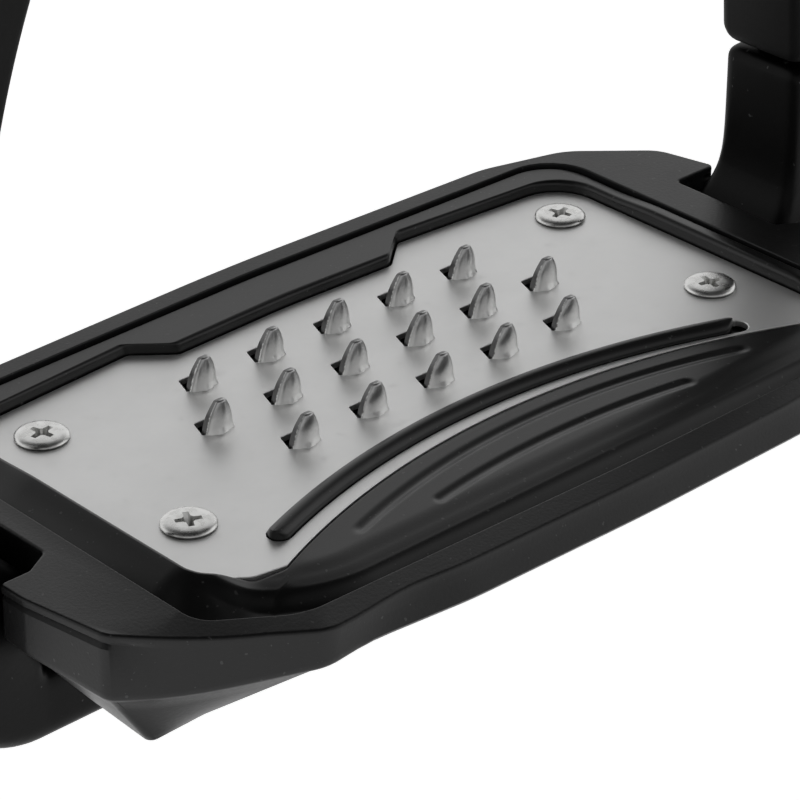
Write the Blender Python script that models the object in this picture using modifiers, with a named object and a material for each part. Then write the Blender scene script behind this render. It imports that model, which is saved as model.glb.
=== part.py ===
"""Jointed riding stirrup: a lofted arch with the strap eye, and a tread that tilts on two coaxial pins.

X runs along the tread, -Y is the toe side that the boot enters from, +Z is up.
The origin is the middle of the face in the eye that hangs on the strap.
"""

import math

import bmesh
import bpy
from mathutils import Matrix, Vector

MM = 0.001
GAP = 0.25 * MM                 # left between pieces that touch

# Heights
PLATE_TOP = -124 * MM           # top of the steel grip plate, below the origin
PIVOT_Z = PLATE_TOP + 27.5 * MM
RIM_TOP = PLATE_TOP + 1.75 * MM
HULL_BOTTOM = PLATE_TOP - 12.5 * MM

# Tread shell and rubber pad
PAD_LEFT, PAD_RIGHT = -52 * MM, 49.4 * MM
PAD_FRONT, PAD_REAR = -34.7 * MM, 23.3 * MM
PAD_REAR_BULGE = 1.3 * MM
RIM_SLOPE = 0.2                 # fall of the rim's top towards the toe
PAD_BOTTOM = PLATE_TOP - 2.9 * MM
PAD_FLOOR = PLATE_TOP - 1.1 * MM
NOTCH_X = 55.4 * MM
NOTCH_REAR, NOTCH_FRONT = 7.9 * MM, -10 * MM

# Grip plate
PLATE_THICKNESS = 0.8 * MM
PLATE_ARC_END = 37 * MM
SLOT_WIDTH = 2.8 * MM
SLOT_LEFT, SLOT_RIGHT = -34.8 * MM, 36.6 * MM
RIB_HEIGHT = 1.4 * MM
# arcs as (x and y of the apex, radius) in mm
FRONT_ARC = (1.8, -16.55, 95)   # hollow front edge of the plate
SLOT_ARC = (-0.3, -13.6, 93)    # middle line of the slot and the rib
GROOVE_ARCS = (((2.2, -19.7, 88), -27, 32), ((2.0, -24.1, 105), -17, 22))    # each with its two ends
GROOVE_WIDTH = 0.9 * MM
TOOTH_PITCH = 10 * MM
TOOTH_ROWS = ((10.1, 5), (1.44, 6), (-7.22, 5))      # y in mm and number of teeth
TOOTH_X = 1.16 * MM
TOOTH_BASE, TOOTH_TIP = 3.6 * MM, 1.8 * MM
HOLE_DEPTH = 3 * MM             # of the hole that each tooth was bent up from

# Screws
SCREW_X, SCREW_Y = 39.7 * MM, 12.44 * MM
SCREW_OFFSET_X, SCREW_OFFSET_Y = 0.5 * MM, 0.6 * MM
SCREW_HOLE = 1.9 * MM
BOW_SCREW_X = 27 * MM
BOW_SCREW_HOLE = 2.3 * MM
BOW_SCREW_WELL = 3 * MM         # depth of the counterbore under the bar
NUT_ACROSS = 7.9 * MM

# Bows
BRANCH_X = 65.6 * MM            # middle of each side branch
BAR_HALF = 4.4 * MM             # half the thickness of the bows
BRANCH_HALF = 5.0 * MM          # the same on the side branches
BRANCH_HALF_Y = 6.0 * MM
BRANCH_RADIUS = 1.3 * MM
BAR_HALF_Y = 8.2 * MM
BAR_RADIUS = 2 * MM
BEND_RADIUS = 10 * MM
BRANCH_TOP = PLATE_TOP + 19.1 * MM
TOP_RADIUS = 1.2 * MM
SLEEVE_BOTTOM = PLATE_TOP + 20.2 * MM
ARCH_FOOT_Z = PLATE_TOP + 15 * MM
ARCH_RISE = 92.5 * MM           # from the arch's foot to its middle line at the crown
SLEEVE_TOP_ANGLE = math.radians(31)
PIVOT_X = BRANCH_X * math.cos(math.asin((PIVOT_Z - ARCH_FOOT_Z) / ARCH_RISE))

# Eye for the strap
EYE_WIDTH, EYE_HEIGHT = 29 * MM, 8.5 * MM
EYE_BAR = 7 * MM
EYE_HALF_DEPTH = 5.2 * MM


# ---------------------------------------------------------------- scene and materials

for old in list(bpy.data.objects):
    bpy.data.objects.remove(old, do_unlink=True)

parts = bpy.data.collections.new("jointed_stirrup")
bpy.context.scene.collection.children.link(parts)
guides = bpy.data.collections.new("cutters")
bpy.context.scene.collection.children.link(guides)


def finish_material(name, colour, roughness, metallic):
    material = bpy.data.materials.new(name)
    material.use_nodes = True
    shader = material.node_tree.nodes["Principled BSDF"]
    shader.inputs["Base Color"].default_value = (*colour, 1)
    shader.inputs["Roughness"].default_value = roughness
    shader.inputs["Metallic"].default_value = metallic
    return material


BLACK_COAT = finish_material("black_coat", (0.012, 0.012, 0.012), 0.45, 0.0)
SHELL_PLASTIC = finish_material("shell_plastic", (0.03, 0.03, 0.03), 0.5, 0.0)
RUBBER = finish_material("rubber", (0.02, 0.02, 0.02), 0.75, 0.0)
PLATE_STEEL = finish_material("plate_steel", (0.62, 0.62, 0.61), 0.35, 1.0)
SCREW_STEEL = finish_material("screw_steel", (0.7, 0.7, 0.69), 0.2, 1.0)
BRONZE = finish_material("bronze", (0.55, 0.38, 0.2), 0.4, 1.0)


# ---------------------------------------------------------------- modelling helpers

def place(mesh, name, material):
    """Add a mesh to the stirrup as a named piece."""
    piece = bpy.data.objects.new(name, mesh)
    piece.data.materials.clear()
    piece.data.materials.append(material)
    parts.objects.link(piece)
    return piece


def mesh_of(curve, name):
    """Turn a curve into a closed mesh, with its caps welded to its sides."""
    holder = bpy.data.objects.new(name, curve)
    guides.objects.link(holder)
    evaluated = holder.evaluated_get(bpy.context.evaluated_depsgraph_get())
    mesh = bpy.data.meshes.new_from_object(evaluated)
    bpy.data.objects.remove(holder, do_unlink=True)
    shape = bmesh.new()
    shape.from_mesh(mesh)
    bmesh.ops.remove_doubles(shape, verts=shape.verts, dist=0.002 * MM)
    bmesh.ops.recalc_face_normals(shape, faces=shape.faces)
    shape.to_mesh(mesh)
    shape.free()
    return mesh


def slab(name, outlines, bottom, top):
    """A flat sheet between two heights; outlines after the first are its holes."""
    curve = bpy.data.curves.new(name, "CURVE")
    curve.dimensions = "2D"
    curve.fill_mode = "BOTH"
    curve.extrude = (top - bottom) / 2
    for outline in outlines:
        spline = curve.splines.new("POLY")
        spline.points.add(len(outline) - 1)
        for point, (x, y) in zip(spline.points, outline):
            point.co = (x, y, 0, 1)
        spline.use_cyclic_u = True
    mesh = mesh_of(curve, name)
    mesh.transform(Matrix.Translation((0, 0, (top + bottom) / 2)))
    return mesh


def lofted(name, rings, closed=False):
    """A skin over matching rings of points: capped at both ends, or closed on itself."""
    mesh = bpy.data.meshes.new(name)
    shape = bmesh.new()
    loops = [[shape.verts.new(point) for point in ring] for ring in rings]
    count = len(rings[0])
    pairs = list(zip(loops, loops[1:]))
    if closed:
        pairs.append((loops[-1], loops[0]))
    for lower, upper in pairs:
        for i in range(count):
            j = (i + 1) % count
            shape.faces.new((lower[i], lower[j], upper[j], upper[i]))
    if not closed:
        shape.faces.new(loops[0][::-1])
        shape.faces.new(loops[-1])
    bmesh.ops.recalc_face_normals(shape, faces=shape.faces)
    shape.to_mesh(mesh)
    shape.free()
    return mesh


def cylinder(radius, bottom, top, x=0.0, y=0.0, segments=24):
    shape = bmesh.new()
    bmesh.ops.create_cone(shape, cap_ends=True, segments=segments, radius1=radius, radius2=radius,
                          depth=top - bottom, matrix=Matrix.Translation((x, y, (top + bottom) / 2)))
    mesh = bpy.data.meshes.new("cylinder")
    shape.to_mesh(mesh)
    shape.free()
    return mesh


def joined(name, meshes):
    """Put several separate shapes in one mesh."""
    shape = bmesh.new()
    for mesh in meshes:
        shape.from_mesh(mesh)
    result = bpy.data.meshes.new(name)
    shape.to_mesh(result)
    shape.free()
    return result


def boolean(piece, operation, mesh):
    """Cut the piece with a mesh or weld the mesh to it; the tool stays in the cutters' collection."""
    tool = bpy.data.objects.new(f"{piece.name}_{operation.lower()}_{len(piece.modifiers)}", mesh)
    guides.objects.link(tool)
    tool.hide_render = True
    tool.display_type = "WIRE"
    modifier = piece.modifiers.new(operation.title(), "BOOLEAN")
    modifier.operation = operation
    modifier.solver = "EXACT"
    modifier.object = tool
    return tool


def arc_points(centre, radius, start, end, steps):
    """Points along an arc, angles in degrees."""
    for step in range(steps + 1):
        angle = math.radians(start + (end - start) * step / steps)
        yield centre[0] + radius * math.cos(angle), centre[1] + radius * math.sin(angle)


def rounded(corners, steps=3):
    """An outline with each (x, y, radius) corner turned into an arc of the same number of points."""
    outline = []
    for i, (x, y, radius) in enumerate(corners):
        here = Vector((x, y))
        back = (Vector(corners[i - 1][:2]) - here).normalized()
        ahead = (Vector(corners[(i + 1) % len(corners)][:2]) - here).normalized()
        half = back.angle(ahead) / 2
        reach = radius / math.tan(half)
        middle = here + (back + ahead).normalized() * (radius / math.sin(half))
        first = here + back * reach - middle
        last = here + ahead * reach - middle
        for step in range(steps + 1):
            turned = first.lerp(last, step / steps).normalized() * radius
            outline.append(tuple(middle + turned))
    return outline


def hexagon(x, y, across):
    return [(x + across / 2 / math.cos(math.radians(30)) * math.cos(math.radians(60 * i)),
             y + across / 2 / math.cos(math.radians(30)) * math.sin(math.radians(60 * i))) for i in range(6)]


def circle(x, y, radius, segments=24):
    return [(x + radius * math.cos(2 * math.pi * i / segments),
             y + radius * math.sin(2 * math.pi * i / segments)) for i in range(segments)]


def smooth(piece, angle=35):
    piece.data.shade_smooth()
    piece.data.set_sharp_from_angle(angle=math.radians(angle))


# ---------------------------------------------------------------- bow sections

def bow_ring(centre, outward, inner, outer, half_y, radius, steps=3):
    """A rounded rectangle across a bow: inner and outer are its reaches along the outward direction."""
    corners = [(-inner, -half_y, radius), (outer, -half_y, radius), (outer, half_y, radius), (-inner, half_y, radius)]
    return [centre + outward * u + Vector((0, v, 0)) for u, v in rounded(corners, steps)]


def arch_point(angle):
    """Middle line of the arch, from the right foot over the crown to the left foot."""
    return Vector((BRANCH_X * math.cos(angle), 0, ARCH_FOOT_Z + ARCH_RISE * math.sin(angle)))


def arch_outward(angle):
    return Vector((ARCH_RISE * math.cos(angle), 0, BRANCH_X * math.sin(angle))).normalized()


def arch_angle(z):
    return math.asin((z - ARCH_FOOT_Z) / ARCH_RISE)


# ---------------------------------------------------------------- upper bow with the eye

FORK_END = PLATE_TOP + 22.8 * MM
NECK_HALF, NECK_HALF_Y = 4.1 * MM, 4.6 * MM          # the bow inside its sleeves
TONGUE_HALF = 2.0 * MM
PIN_RADIUS, PIN_HOLE = 1.5 * MM, 1.75 * MM
FORK_SLOT_HALF = TONGUE_HALF + GAP


def make_upper_bow():
    foot = arch_angle(FORK_END)
    shoulder = SLEEVE_TOP_ANGLE + math.radians(1)
    full = SLEEVE_TOP_ANGLE + math.radians(4)
    rising = [foot + (shoulder - foot) * i / 7 for i in range(8)]
    over = [full + (math.pi - 2 * full) * i / 22 for i in range(23)]
    rings = []
    for angle in rising:
        rings.append(bow_ring(arch_point(angle), arch_outward(angle), NECK_HALF, NECK_HALF, NECK_HALF_Y, 1.8 * MM))
    for angle in over:
        spread = math.sin(angle) ** 6                 # the bow grows towards the crown
        rings.append(bow_ring(arch_point(angle), arch_outward(angle), BAR_HALF + 0.3 * MM, BAR_HALF + 0.3 * MM,
                              (5.6 - 0.2 * spread) * MM, 2.6 * MM))
    for angle in reversed(rising):
        left = math.pi - angle
        rings.append(bow_ring(arch_point(left), arch_outward(left), NECK_HALF, NECK_HALF, NECK_HALF_Y, 1.8 * MM))
    bow = place(lofted("upper_bow", rings), "upper_bow", BLACK_COAT)

    # crown block and the eye through it, drawn flat and stood up
    upright = Matrix.Rotation(math.radians(90), 4, "X")
    low = PLATE_TOP + 105 * MM
    block = slab("crown_block", [rounded([(-26 * MM, low, 2 * MM), (26 * MM, low, 2 * MM),
                                          (19.5 * MM, EYE_BAR, 6 * MM), (-19.5 * MM, EYE_BAR, 6 * MM)], 5)],
                 -EYE_HALF_DEPTH, EYE_HALF_DEPTH)
    block.transform(upright)
    boolean(bow, "UNION", block)
    half = EYE_WIDTH / 2
    eye = slab("eye", [rounded([(-half, -EYE_HEIGHT, 2 * MM), (half, -EYE_HEIGHT, 2 * MM),
                                (half, 0, 2 * MM), (-half, 0, 2 * MM)], 4)], -12 * MM, 12 * MM)
    eye.transform(upright)
    boolean(bow, "DIFFERENCE", eye)

    # fork slots and pin holes
    cuts = []
    for side in (-1, 1):
        slot = slab("fork_slot", [rounded([(-FORK_SLOT_HALF, -9 * MM, 0.2 * MM), (FORK_SLOT_HALF, -9 * MM, 0.2 * MM),
                                           (FORK_SLOT_HALF, 9 * MM, 0.2 * MM), (-FORK_SLOT_HALF, 9 * MM, 0.2 * MM)])],
                    FORK_END - 3 * MM, PIVOT_Z + 4.6 * MM)
        slot.transform(Matrix.Translation((side * PIVOT_X, 0, 0)))
        hole = cylinder(PIN_HOLE, -7 * MM, 7 * MM)
        hole.transform(Matrix.Translation((side * PIVOT_X, 0, PIVOT_Z)) @ Matrix.Rotation(math.radians(90), 4, "Y"))
        cuts.append((slot, hole))
    boolean(bow, "DIFFERENCE", joined("fork_slots", [slot for slot, _ in cuts]))
    boolean(bow, "DIFFERENCE", joined("pin_holes", [hole for _, hole in cuts]))
    smooth(bow)
    return bow


# ---------------------------------------------------------------- rubber sleeves over the joints

SLEEVE_HALF, SLEEVE_HALF_Y = 5.5 * MM, 6.5 * MM
SLEEVE_END_RADIUS = 2.4 * MM
SLEEVE_RADIUS = 1.7 * MM
MOUTH_HALF, MOUTH_HALF_Y = TONGUE_HALF + 1.1 * MM, 3.5 * MM    # room for the tongue to swing


def make_sleeve(name, side):
    def at(height_or_angle, half, half_y, radius, is_angle=False):
        angle = height_or_angle if is_angle else arch_angle(height_or_angle)
        if side < 0:
            angle = math.pi - angle
        return bow_ring(arch_point(angle), arch_outward(angle), half, half, half_y, radius)

    rings = []
    for step in range(6):                             # rounded lower end
        turn = math.radians(90 * step / 5)
        inset = SLEEVE_END_RADIUS * (1 - math.sin(turn))
        height = SLEEVE_BOTTOM + SLEEVE_END_RADIUS * (1 - math.cos(turn))
        rings.append(at(height, SLEEVE_HALF - 0.5 * inset, SLEEVE_HALF_Y - 0.6 * inset, SLEEVE_RADIUS))
    bottom_angle = arch_angle(SLEEVE_BOTTOM + SLEEVE_END_RADIUS)
    for step in range(1, 9):
        angle = bottom_angle + (SLEEVE_TOP_ANGLE - bottom_angle) * step / 8
        rings.append(at(angle, SLEEVE_HALF, SLEEVE_HALF_Y, SLEEVE_RADIUS, True))
    floor = arch_angle(PLATE_TOP + 22.5 * MM)
    for step in range(4, -1, -1):                     # the cavity, from the top down
        angle = floor + (SLEEVE_TOP_ANGLE - floor) * step / 4
        rings.append(at(angle, NECK_HALF + GAP, NECK_HALF_Y + GAP, 1.8 * MM, True))
    rings.append(at(PLATE_TOP + 22.2 * MM, MOUTH_HALF, MOUTH_HALF_Y, 0.9 * MM))
    rings.append(at(SLEEVE_BOTTOM, MOUTH_HALF, MOUTH_HALF_Y, 0.9 * MM))
    sleeve = place(lofted(name, rings, closed=True), name, RUBBER)
    smooth(sleeve, 50)
    return sleeve


# ---------------------------------------------------------------- lower bow with its tongues

def make_lower_bow():
    # (height above the plate, inward reach, half width) down the branch
    branch = [(8, 5, 6), (4, 5.3, 6.2), (1.6, 6.3, 6.5), (0, 7.8, 6.8), (-1.4, 9.1, 7.0), (-3.2, 9.5, 7.2),
              (-6, 8.4, 7.4)]
    right = Vector((1, 0, 0))
    rings = []
    for step in range(5):                             # rounded top of the branch
        turn = math.radians(90 * step / 5)
        inset = TOP_RADIUS * (1 - math.sin(turn))
        height = BRANCH_TOP - TOP_RADIUS * (1 - math.cos(turn))
        rings.append(bow_ring(Vector((BRANCH_X, 0, height)), right, BRANCH_HALF - inset, BRANCH_HALF - inset,
                              BRANCH_HALF_Y - inset, BRANCH_RADIUS - 0.1 * inset))
    for height, inner, half_y in branch:
        rings.append(bow_ring(Vector((BRANCH_X, 0, PLATE_TOP + height * MM)), right, inner * MM, BRANCH_HALF,
                              half_y * MM, BRANCH_RADIUS))
    bar_z = HULL_BOTTOM - GAP - BAR_HALF
    centre = Vector((BRANCH_X - BEND_RADIUS, 0, bar_z + BEND_RADIUS))
    for step in range(7):
        turn = math.radians(90 * step / 6)
        outward = Vector((math.cos(turn), 0, -math.sin(turn)))
        width = 7.5 * MM + (BAR_HALF_Y - 7.5 * MM) * step / 6
        inner = BAR_HALF + max(0, 2.4 - 0.8 * step) * MM
        outer = BAR_HALF + (BRANCH_HALF - BAR_HALF) * max(0, 1 - step / 3)
        rings.append(bow_ring(centre + outward * BEND_RADIUS, outward, inner, outer, width, BAR_RADIUS))
    down = Vector((0, 0, -1))
    for x in (40, 20):
        rings.append(bow_ring(Vector((x * MM, 0, bar_z)), down, BAR_HALF, BAR_HALF, BAR_HALF_Y, BAR_RADIUS))
    half_count = len(rings)
    rings.append(bow_ring(Vector((0, 0, bar_z)), down, BAR_HALF, BAR_HALF, BAR_HALF_Y, BAR_RADIUS))
    for ring in reversed(rings[:half_count]):
        rings.append([Vector((-point.x, point.y, point.z)) for point in ring])
    bow = place(lofted("lower_bow", rings), "lower_bow", BLACK_COAT)

    # a tongue with a round eye on each branch
    tongues = []
    holes = []
    for side in (-1, 1):
        neck = 1.8 * MM
        low = BRANCH_TOP - 2 * MM
        eye_radius = 3.9 * MM
        drop = math.sqrt(eye_radius ** 2 - neck ** 2)
        start = math.degrees(math.atan2(-drop, neck))
        outline = [(-neck, low), (neck, low)]
        outline += list(arc_points((0, PIVOT_Z), eye_radius, start, 180 - start, 20))
        tongue = slab("tongue", [outline], -TONGUE_HALF, TONGUE_HALF)
        # stand the flat outline up across the branch: its x becomes y, its y becomes z
        turn = Matrix(((0, 0, 1, side * PIVOT_X), (1, 0, 0, 0), (0, 1, 0, 0), (0, 0, 0, 1)))
        tongue.transform(turn)
        tongues.append(tongue)
        hole = cylinder(2.55 * MM, -6 * MM, 6 * MM)
        hole.transform(Matrix.Translation((side * PIVOT_X, 0, PIVOT_Z)) @ Matrix.Rotation(math.radians(90), 4, "Y"))
        holes.append(hole)
    boolean(bow, "UNION", joined("tongues", tongues))
    boolean(bow, "DIFFERENCE", joined("tongue_holes", holes))

    # screw holes with counterbores under the bar
    bores = []
    for side in (-1, 1):
        bores.append(cylinder(BOW_SCREW_HOLE, bar_z - 9 * MM, bar_z + 9 * MM, side * BOW_SCREW_X))
    boolean(bow, "DIFFERENCE", joined("bow_screw_holes", bores))
    wells = []
    for side in (-1, 1):
        wells.append(cylinder(4.3 * MM, bar_z - 9 * MM, bar_z - BAR_HALF + BOW_SCREW_WELL, side * BOW_SCREW_X))
    boolean(bow, "DIFFERENCE", joined("bow_screw_wells", wells))
    smooth(bow)
    return bow


# ---------------------------------------------------------------- tread shell

RIM = [(-43, -38.4, 4), (-24, -40.6, 40), (24, -40.6, 40), (43, -38.4, 4), (60.6, -24.6, 2), (62.6, -12, 3),
       (62.2, 9.5, 2), (60.3, 15.8, 3),
       (51.4, 23.7, 6), (40, 26.8, 8), (0, 28, 40), (-40, 26.8, 8), (-51.4, 23.7, 6), (-60.3, 15.8, 3),
       (-62.2, 9.5, 2), (-62.6, -12, 3), (-60.6, -24.6, 2)]
KEEL = [(-51, -25.3, 2), (-24, -25.6, 20), (24, -25.6, 20), (51, -25.3, 2), (55.7, -25, 1), (55.6, -10, 1),
        (55.6, 6, 1), (55, 10, 1.5), (50, 14.5, 3), (38, 16.5, 4), (0, 17.2, 30), (-38, 16.5, 4), (-50, 14.5, 3),
        (-55, 10, 1.5), (-55.6, 6, 1), (-55.6, -10, 1), (-55.7, -25, 1)]


def pad_outline(margin):
    left, right = PAD_LEFT - margin, PAD_RIGHT + margin
    front, rear = PAD_FRONT - margin, PAD_REAR + margin
    bulge = rear + PAD_REAR_BULGE
    return rounded([(left + 7.5 * MM, front, 5 * MM), (right - 7.5 * MM, front, 5 * MM),
                    (right, front + 6.5 * MM, 4 * MM), (right, rear, 6 * MM), (0, bulge, 60 * MM),
                    (left, rear, 6 * MM), (left, front + 6.5 * MM, 4 * MM)], 5)


def scaled(corners):
    return [(x * MM, y * MM, radius * MM) for x, y, radius in corners]


def screw_places():
    for sx in (-1, 1):
        for sy in (-1, 1):
            yield SCREW_OFFSET_X + sx * SCREW_X, SCREW_OFFSET_Y + sy * SCREW_Y


def make_shell():
    rim = rounded(scaled(RIM), 3)
    keel = rounded(scaled(KEEL), 3)
    middle = []
    for x, y in rim:
        # the skirt is low along the front and back and deep at the ends
        deep = min(1, max(0, (abs(x) / MM - 36) / 22))
        middle.append(Vector((x * 0.994, y * 0.994, PLATE_TOP - (2.6 + 3.9 * deep) * MM)))
    flat_end = PAD_FRONT - 3 * GAP                    # the rim is level up to here, then falls away
    rings = [[Vector((x * 0.992, max(y * 0.988, flat_end), RIM_TOP)) for x, y in rim],
             [Vector((x, y, RIM_TOP - 0.5 * MM - RIM_SLOPE * max(0, flat_end - y))) for x, y in rim],
             middle,
             [Vector((x, y, HULL_BOTTOM)) for x, y in keel]]
    shell = place(lofted("tread_shell", rings), "tread_shell", SHELL_PLASTIC)
    boolean(shell, "DIFFERENCE", slab("pad_pocket", [pad_outline(GAP)], PAD_BOTTOM - GAP, RIM_TOP + 5 * MM))

    # notches that the branches rise through
    notches = []
    for side in (-1, 1):
        far = side * 80 * MM
        near = side * NOTCH_X
        corner = side * (NOTCH_X + 3 * MM)
        outline = [(near, NOTCH_REAR), (far, NOTCH_REAR), (far, NOTCH_FRONT), (corner, NOTCH_FRONT),
                   (near, NOTCH_FRONT + 1.8 * MM)]
        notches.append(slab("notch", [outline], HULL_BOTTOM - 5 * MM, RIM_TOP + 5 * MM))
    boolean(shell, "DIFFERENCE", joined("notches", notches))

    # holes for the plate screws' inserts, and for the bow screws with a nut pocket above each
    bores = []
    for x, y in screw_places():
        bores.append(cylinder(2.75 * MM, PAD_BOTTOM - 7 * MM, PAD_BOTTOM + 1 * MM, x, y))
    for side in (-1, 1):
        bores.append(cylinder(BOW_SCREW_HOLE, HULL_BOTTOM - 2 * MM, PAD_BOTTOM + 1 * MM, side * BOW_SCREW_X))
    boolean(shell, "DIFFERENCE", joined("shell_bores", bores))
    pockets = []
    for side in (-1, 1):
        pockets.append(slab("nut_pocket", [hexagon(side * BOW_SCREW_X, 0, NUT_ACROSS + 2 * GAP)],
                            PAD_BOTTOM - 4.5 * MM, PAD_BOTTOM + 1 * MM))
    boolean(shell, "DIFFERENCE", joined("nut_pockets", pockets))
    smooth(shell)
    return shell


# ---------------------------------------------------------------- grip plate with its stamped teeth

PLATE_CORNERS = [(40.9, -23.4, 3), (46.4, -19.6, 2), (46.4, 19.2, 5.5), (20.9, 21.0, 1.2), (16.4, 17.2, 1.2),
                 (0, 17.7, 60), (-16.2, 17.2, 1.2), (-20.7, 21.0, 1.2), (-45.9, 19.2, 5.5), (-45.9, -18.6, 2),
                 (-40.6, -22.8, 3)]


def arc_y(x, arc, offset=0.0):
    """Height at x of an arc, given as (apex x, apex y, radius) in mm; the offset makes it larger."""
    apex_x, apex_y, radius = (value * MM for value in arc)
    return apex_y - radius + math.sqrt((radius + offset) ** 2 - (x - apex_x) ** 2)


def arc_line(arc, left, right, steps, offset=0.0):
    """Points along an arc from left to right."""
    for step in range(steps + 1):
        x = left + (right - left) * step / steps
        yield x, arc_y(x, arc, offset)


def plate_outline(margin):
    """Anticlockwise from the left front corner; the front edge is hollow and the rear edge has a wide notch."""
    front = list(arc_line(FRONT_ARC, -PLATE_ARC_END, PLATE_ARC_END, 24))
    ends = [(x / MM, y / MM, 0.5) for x, y in (front[-1], front[0])]
    steps = 3
    corners = rounded(scaled(ends[:1] + PLATE_CORNERS + ends[1:]), steps)
    outline = front + corners[steps + 1:-(steps + 1)]
    grown = []
    for i, point in enumerate(outline):
        along = Vector(outline[(i + 1) % len(outline)]) - Vector(outline[i - 1])
        grown.append(tuple(Vector(point) + Vector((along.y, -along.x)).normalized() * margin))
    return grown


def slot_outline(margin, left=SLOT_LEFT, right=SLOT_RIGHT):
    """The curved slot that the rubber rib comes up through, with round ends."""
    half = SLOT_WIDTH / 2 + margin
    left, right = left - margin + half, right + margin - half
    outline = list(arc_line(SLOT_ARC, left, right, 20, -half))
    for tip, start in ((right, -90), (left, 90)):
        lean = math.degrees(math.asin((tip / MM - SLOT_ARC[0]) / SLOT_ARC[2]))
        centre = (tip, arc_y(tip, SLOT_ARC))
        outline += list(arc_points(centre, half, start - lean, start + 180 - lean, 6))[1:-1]
        if tip == right:
            outline += list(arc_line(SLOT_ARC, right, left, 20, half))
    return outline


def tooth_places():
    for y, count in TOOTH_ROWS:
        for i in range(count):
            yield TOOTH_X + (i - (count - 1) / 2) * TOOTH_PITCH, y * MM


def tooth(x, y):
    """A tab lanced out of the sheet and bent up: a hollow half cone with its back to the boot's toe."""
    rings = []
    levels = ((-0.6, 1.0, 1.0), (0.1, 1.0, 1.0), (2.0, 0.76, 0.85), (3.4, 0.56, 0.7), (3.9, 0.38, 0.62))
    for height, share, wall in levels:
        half = share * TOOTH_BASE / 2
        depth = half * 0.75
        thickness = PLATE_THICKNESS * wall
        outer = []
        inner = []
        for step in range(6):
            turn = math.pi * step / 5
            outer.append(Vector((x - half * math.cos(turn), y - depth * math.sin(turn), PLATE_TOP + height * MM)))
            inner.append(Vector((x - (half - thickness) * math.cos(turn),
                                 y + 0.05 * MM - max(0.1 * MM, depth - thickness) * math.sin(turn),
                                 PLATE_TOP + height * MM)))
        rings.append(outer + inner[::-1])
    return lofted("tooth", rings)


def make_plate():
    holes = [circle(x, y, SCREW_HOLE, 20) for x, y in screw_places()]
    holes.append(slot_outline(0))
    for x, y in tooth_places():
        rear = y + HOLE_DEPTH
        holes.append([(x - TOOTH_BASE / 2 + 0.5 * MM, y), (x + TOOTH_BASE / 2 - 0.5 * MM, y),
                      (x + TOOTH_TIP / 2, rear - 0.3 * MM), (x + TOOTH_TIP / 2 - 0.3 * MM, rear),
                      (x - TOOTH_TIP / 2 + 0.3 * MM, rear), (x - TOOTH_TIP / 2, rear - 0.3 * MM)])
    sheet = slab("grip_plate", [plate_outline(0)] + holes, PLATE_TOP - PLATE_THICKNESS, PLATE_TOP)
    plate = place(sheet, "grip_plate", PLATE_STEEL)
    boolean(plate, "UNION", joined("teeth", [tooth(x, y) for x, y in tooth_places()]))
    smooth(plate, 40)
    return plate


# ---------------------------------------------------------------- rubber pad

def arc_band(arc, width, left, right, bottom, top):
    """A curved groove cutter."""
    outline = list(arc_line(arc, left, right, 16, -width / 2)) + list(arc_line(arc, right, left, 16, width / 2))
    return slab("arc_band", [outline], bottom, top)


def make_pad():
    pad = place(slab("tread_pad", [pad_outline(0)], PAD_BOTTOM, RIM_TOP), "tread_pad", RUBBER)
    boolean(pad, "DIFFERENCE", slab("plate_pocket", [plate_outline(GAP)], PAD_FLOOR, RIM_TOP + 3 * MM))

    # the toe side lies level with the plate, up to the raised front lip
    toe = [(-37 * MM, -24 * MM), (-36 * MM, -27.6 * MM), (-32 * MM, -30.2 * MM), (32 * MM, -30.2 * MM),
           (37 * MM, -27.6 * MM), (39 * MM, -24 * MM)]
    toe += list(arc_line(FRONT_ARC, 36 * MM, -36 * MM, 8, 1 * MM))
    boolean(pad, "DIFFERENCE", slab("toe_step", [toe], PLATE_TOP - 0.1 * MM, RIM_TOP + 3 * MM))
    grooves = [arc_band(arc, GROOVE_WIDTH, left * MM, right * MM, PLATE_TOP - 0.8 * MM, PLATE_TOP + 1 * MM)
               for arc, left, right in GROOVE_ARCS]
    boolean(pad, "DIFFERENCE", joined("grooves", grooves))

    rib = slab("rib", [slot_outline(-0.3 * MM, SLOT_LEFT, SLOT_RIGHT - 1.8 * MM)], PAD_FLOOR - 0.6 * MM,
               PLATE_TOP + RIB_HEIGHT)
    boolean(pad, "UNION", rib)
    bores = [cylinder(SCREW_HOLE, PAD_BOTTOM - 1 * MM, PAD_FLOOR + 1 * MM, x, y, 20) for x, y in screw_places()]
    boolean(pad, "DIFFERENCE", joined("pad_bores", bores))
    smooth(pad)
    return pad


# ---------------------------------------------------------------- fasteners, pins and bushes

def turned(name, profile, material, segments=16):
    """A solid of revolution about Z. The profile runs down its outer side, from the axis or back to its start."""
    mesh = bpy.data.meshes.new(name)
    shape = bmesh.new()
    is_ring = profile[0] == profile[-1]
    points = [shape.verts.new((radius, 0, z)) for radius, z in (profile[:-1] if is_ring else profile)]
    if is_ring:
        points.append(points[0])
    for first, second in zip(points, points[1:]):
        shape.edges.new((first, second))
    shape.to_mesh(mesh)
    shape.free()
    piece = place(mesh, name, material)
    screw = piece.modifiers.new("Turn", "SCREW")
    screw.steps = screw.render_steps = segments
    screw.use_merge_vertices = True
    screw.merge_threshold = 0.00001
    screw.use_smooth_shade = True
    return piece


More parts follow.
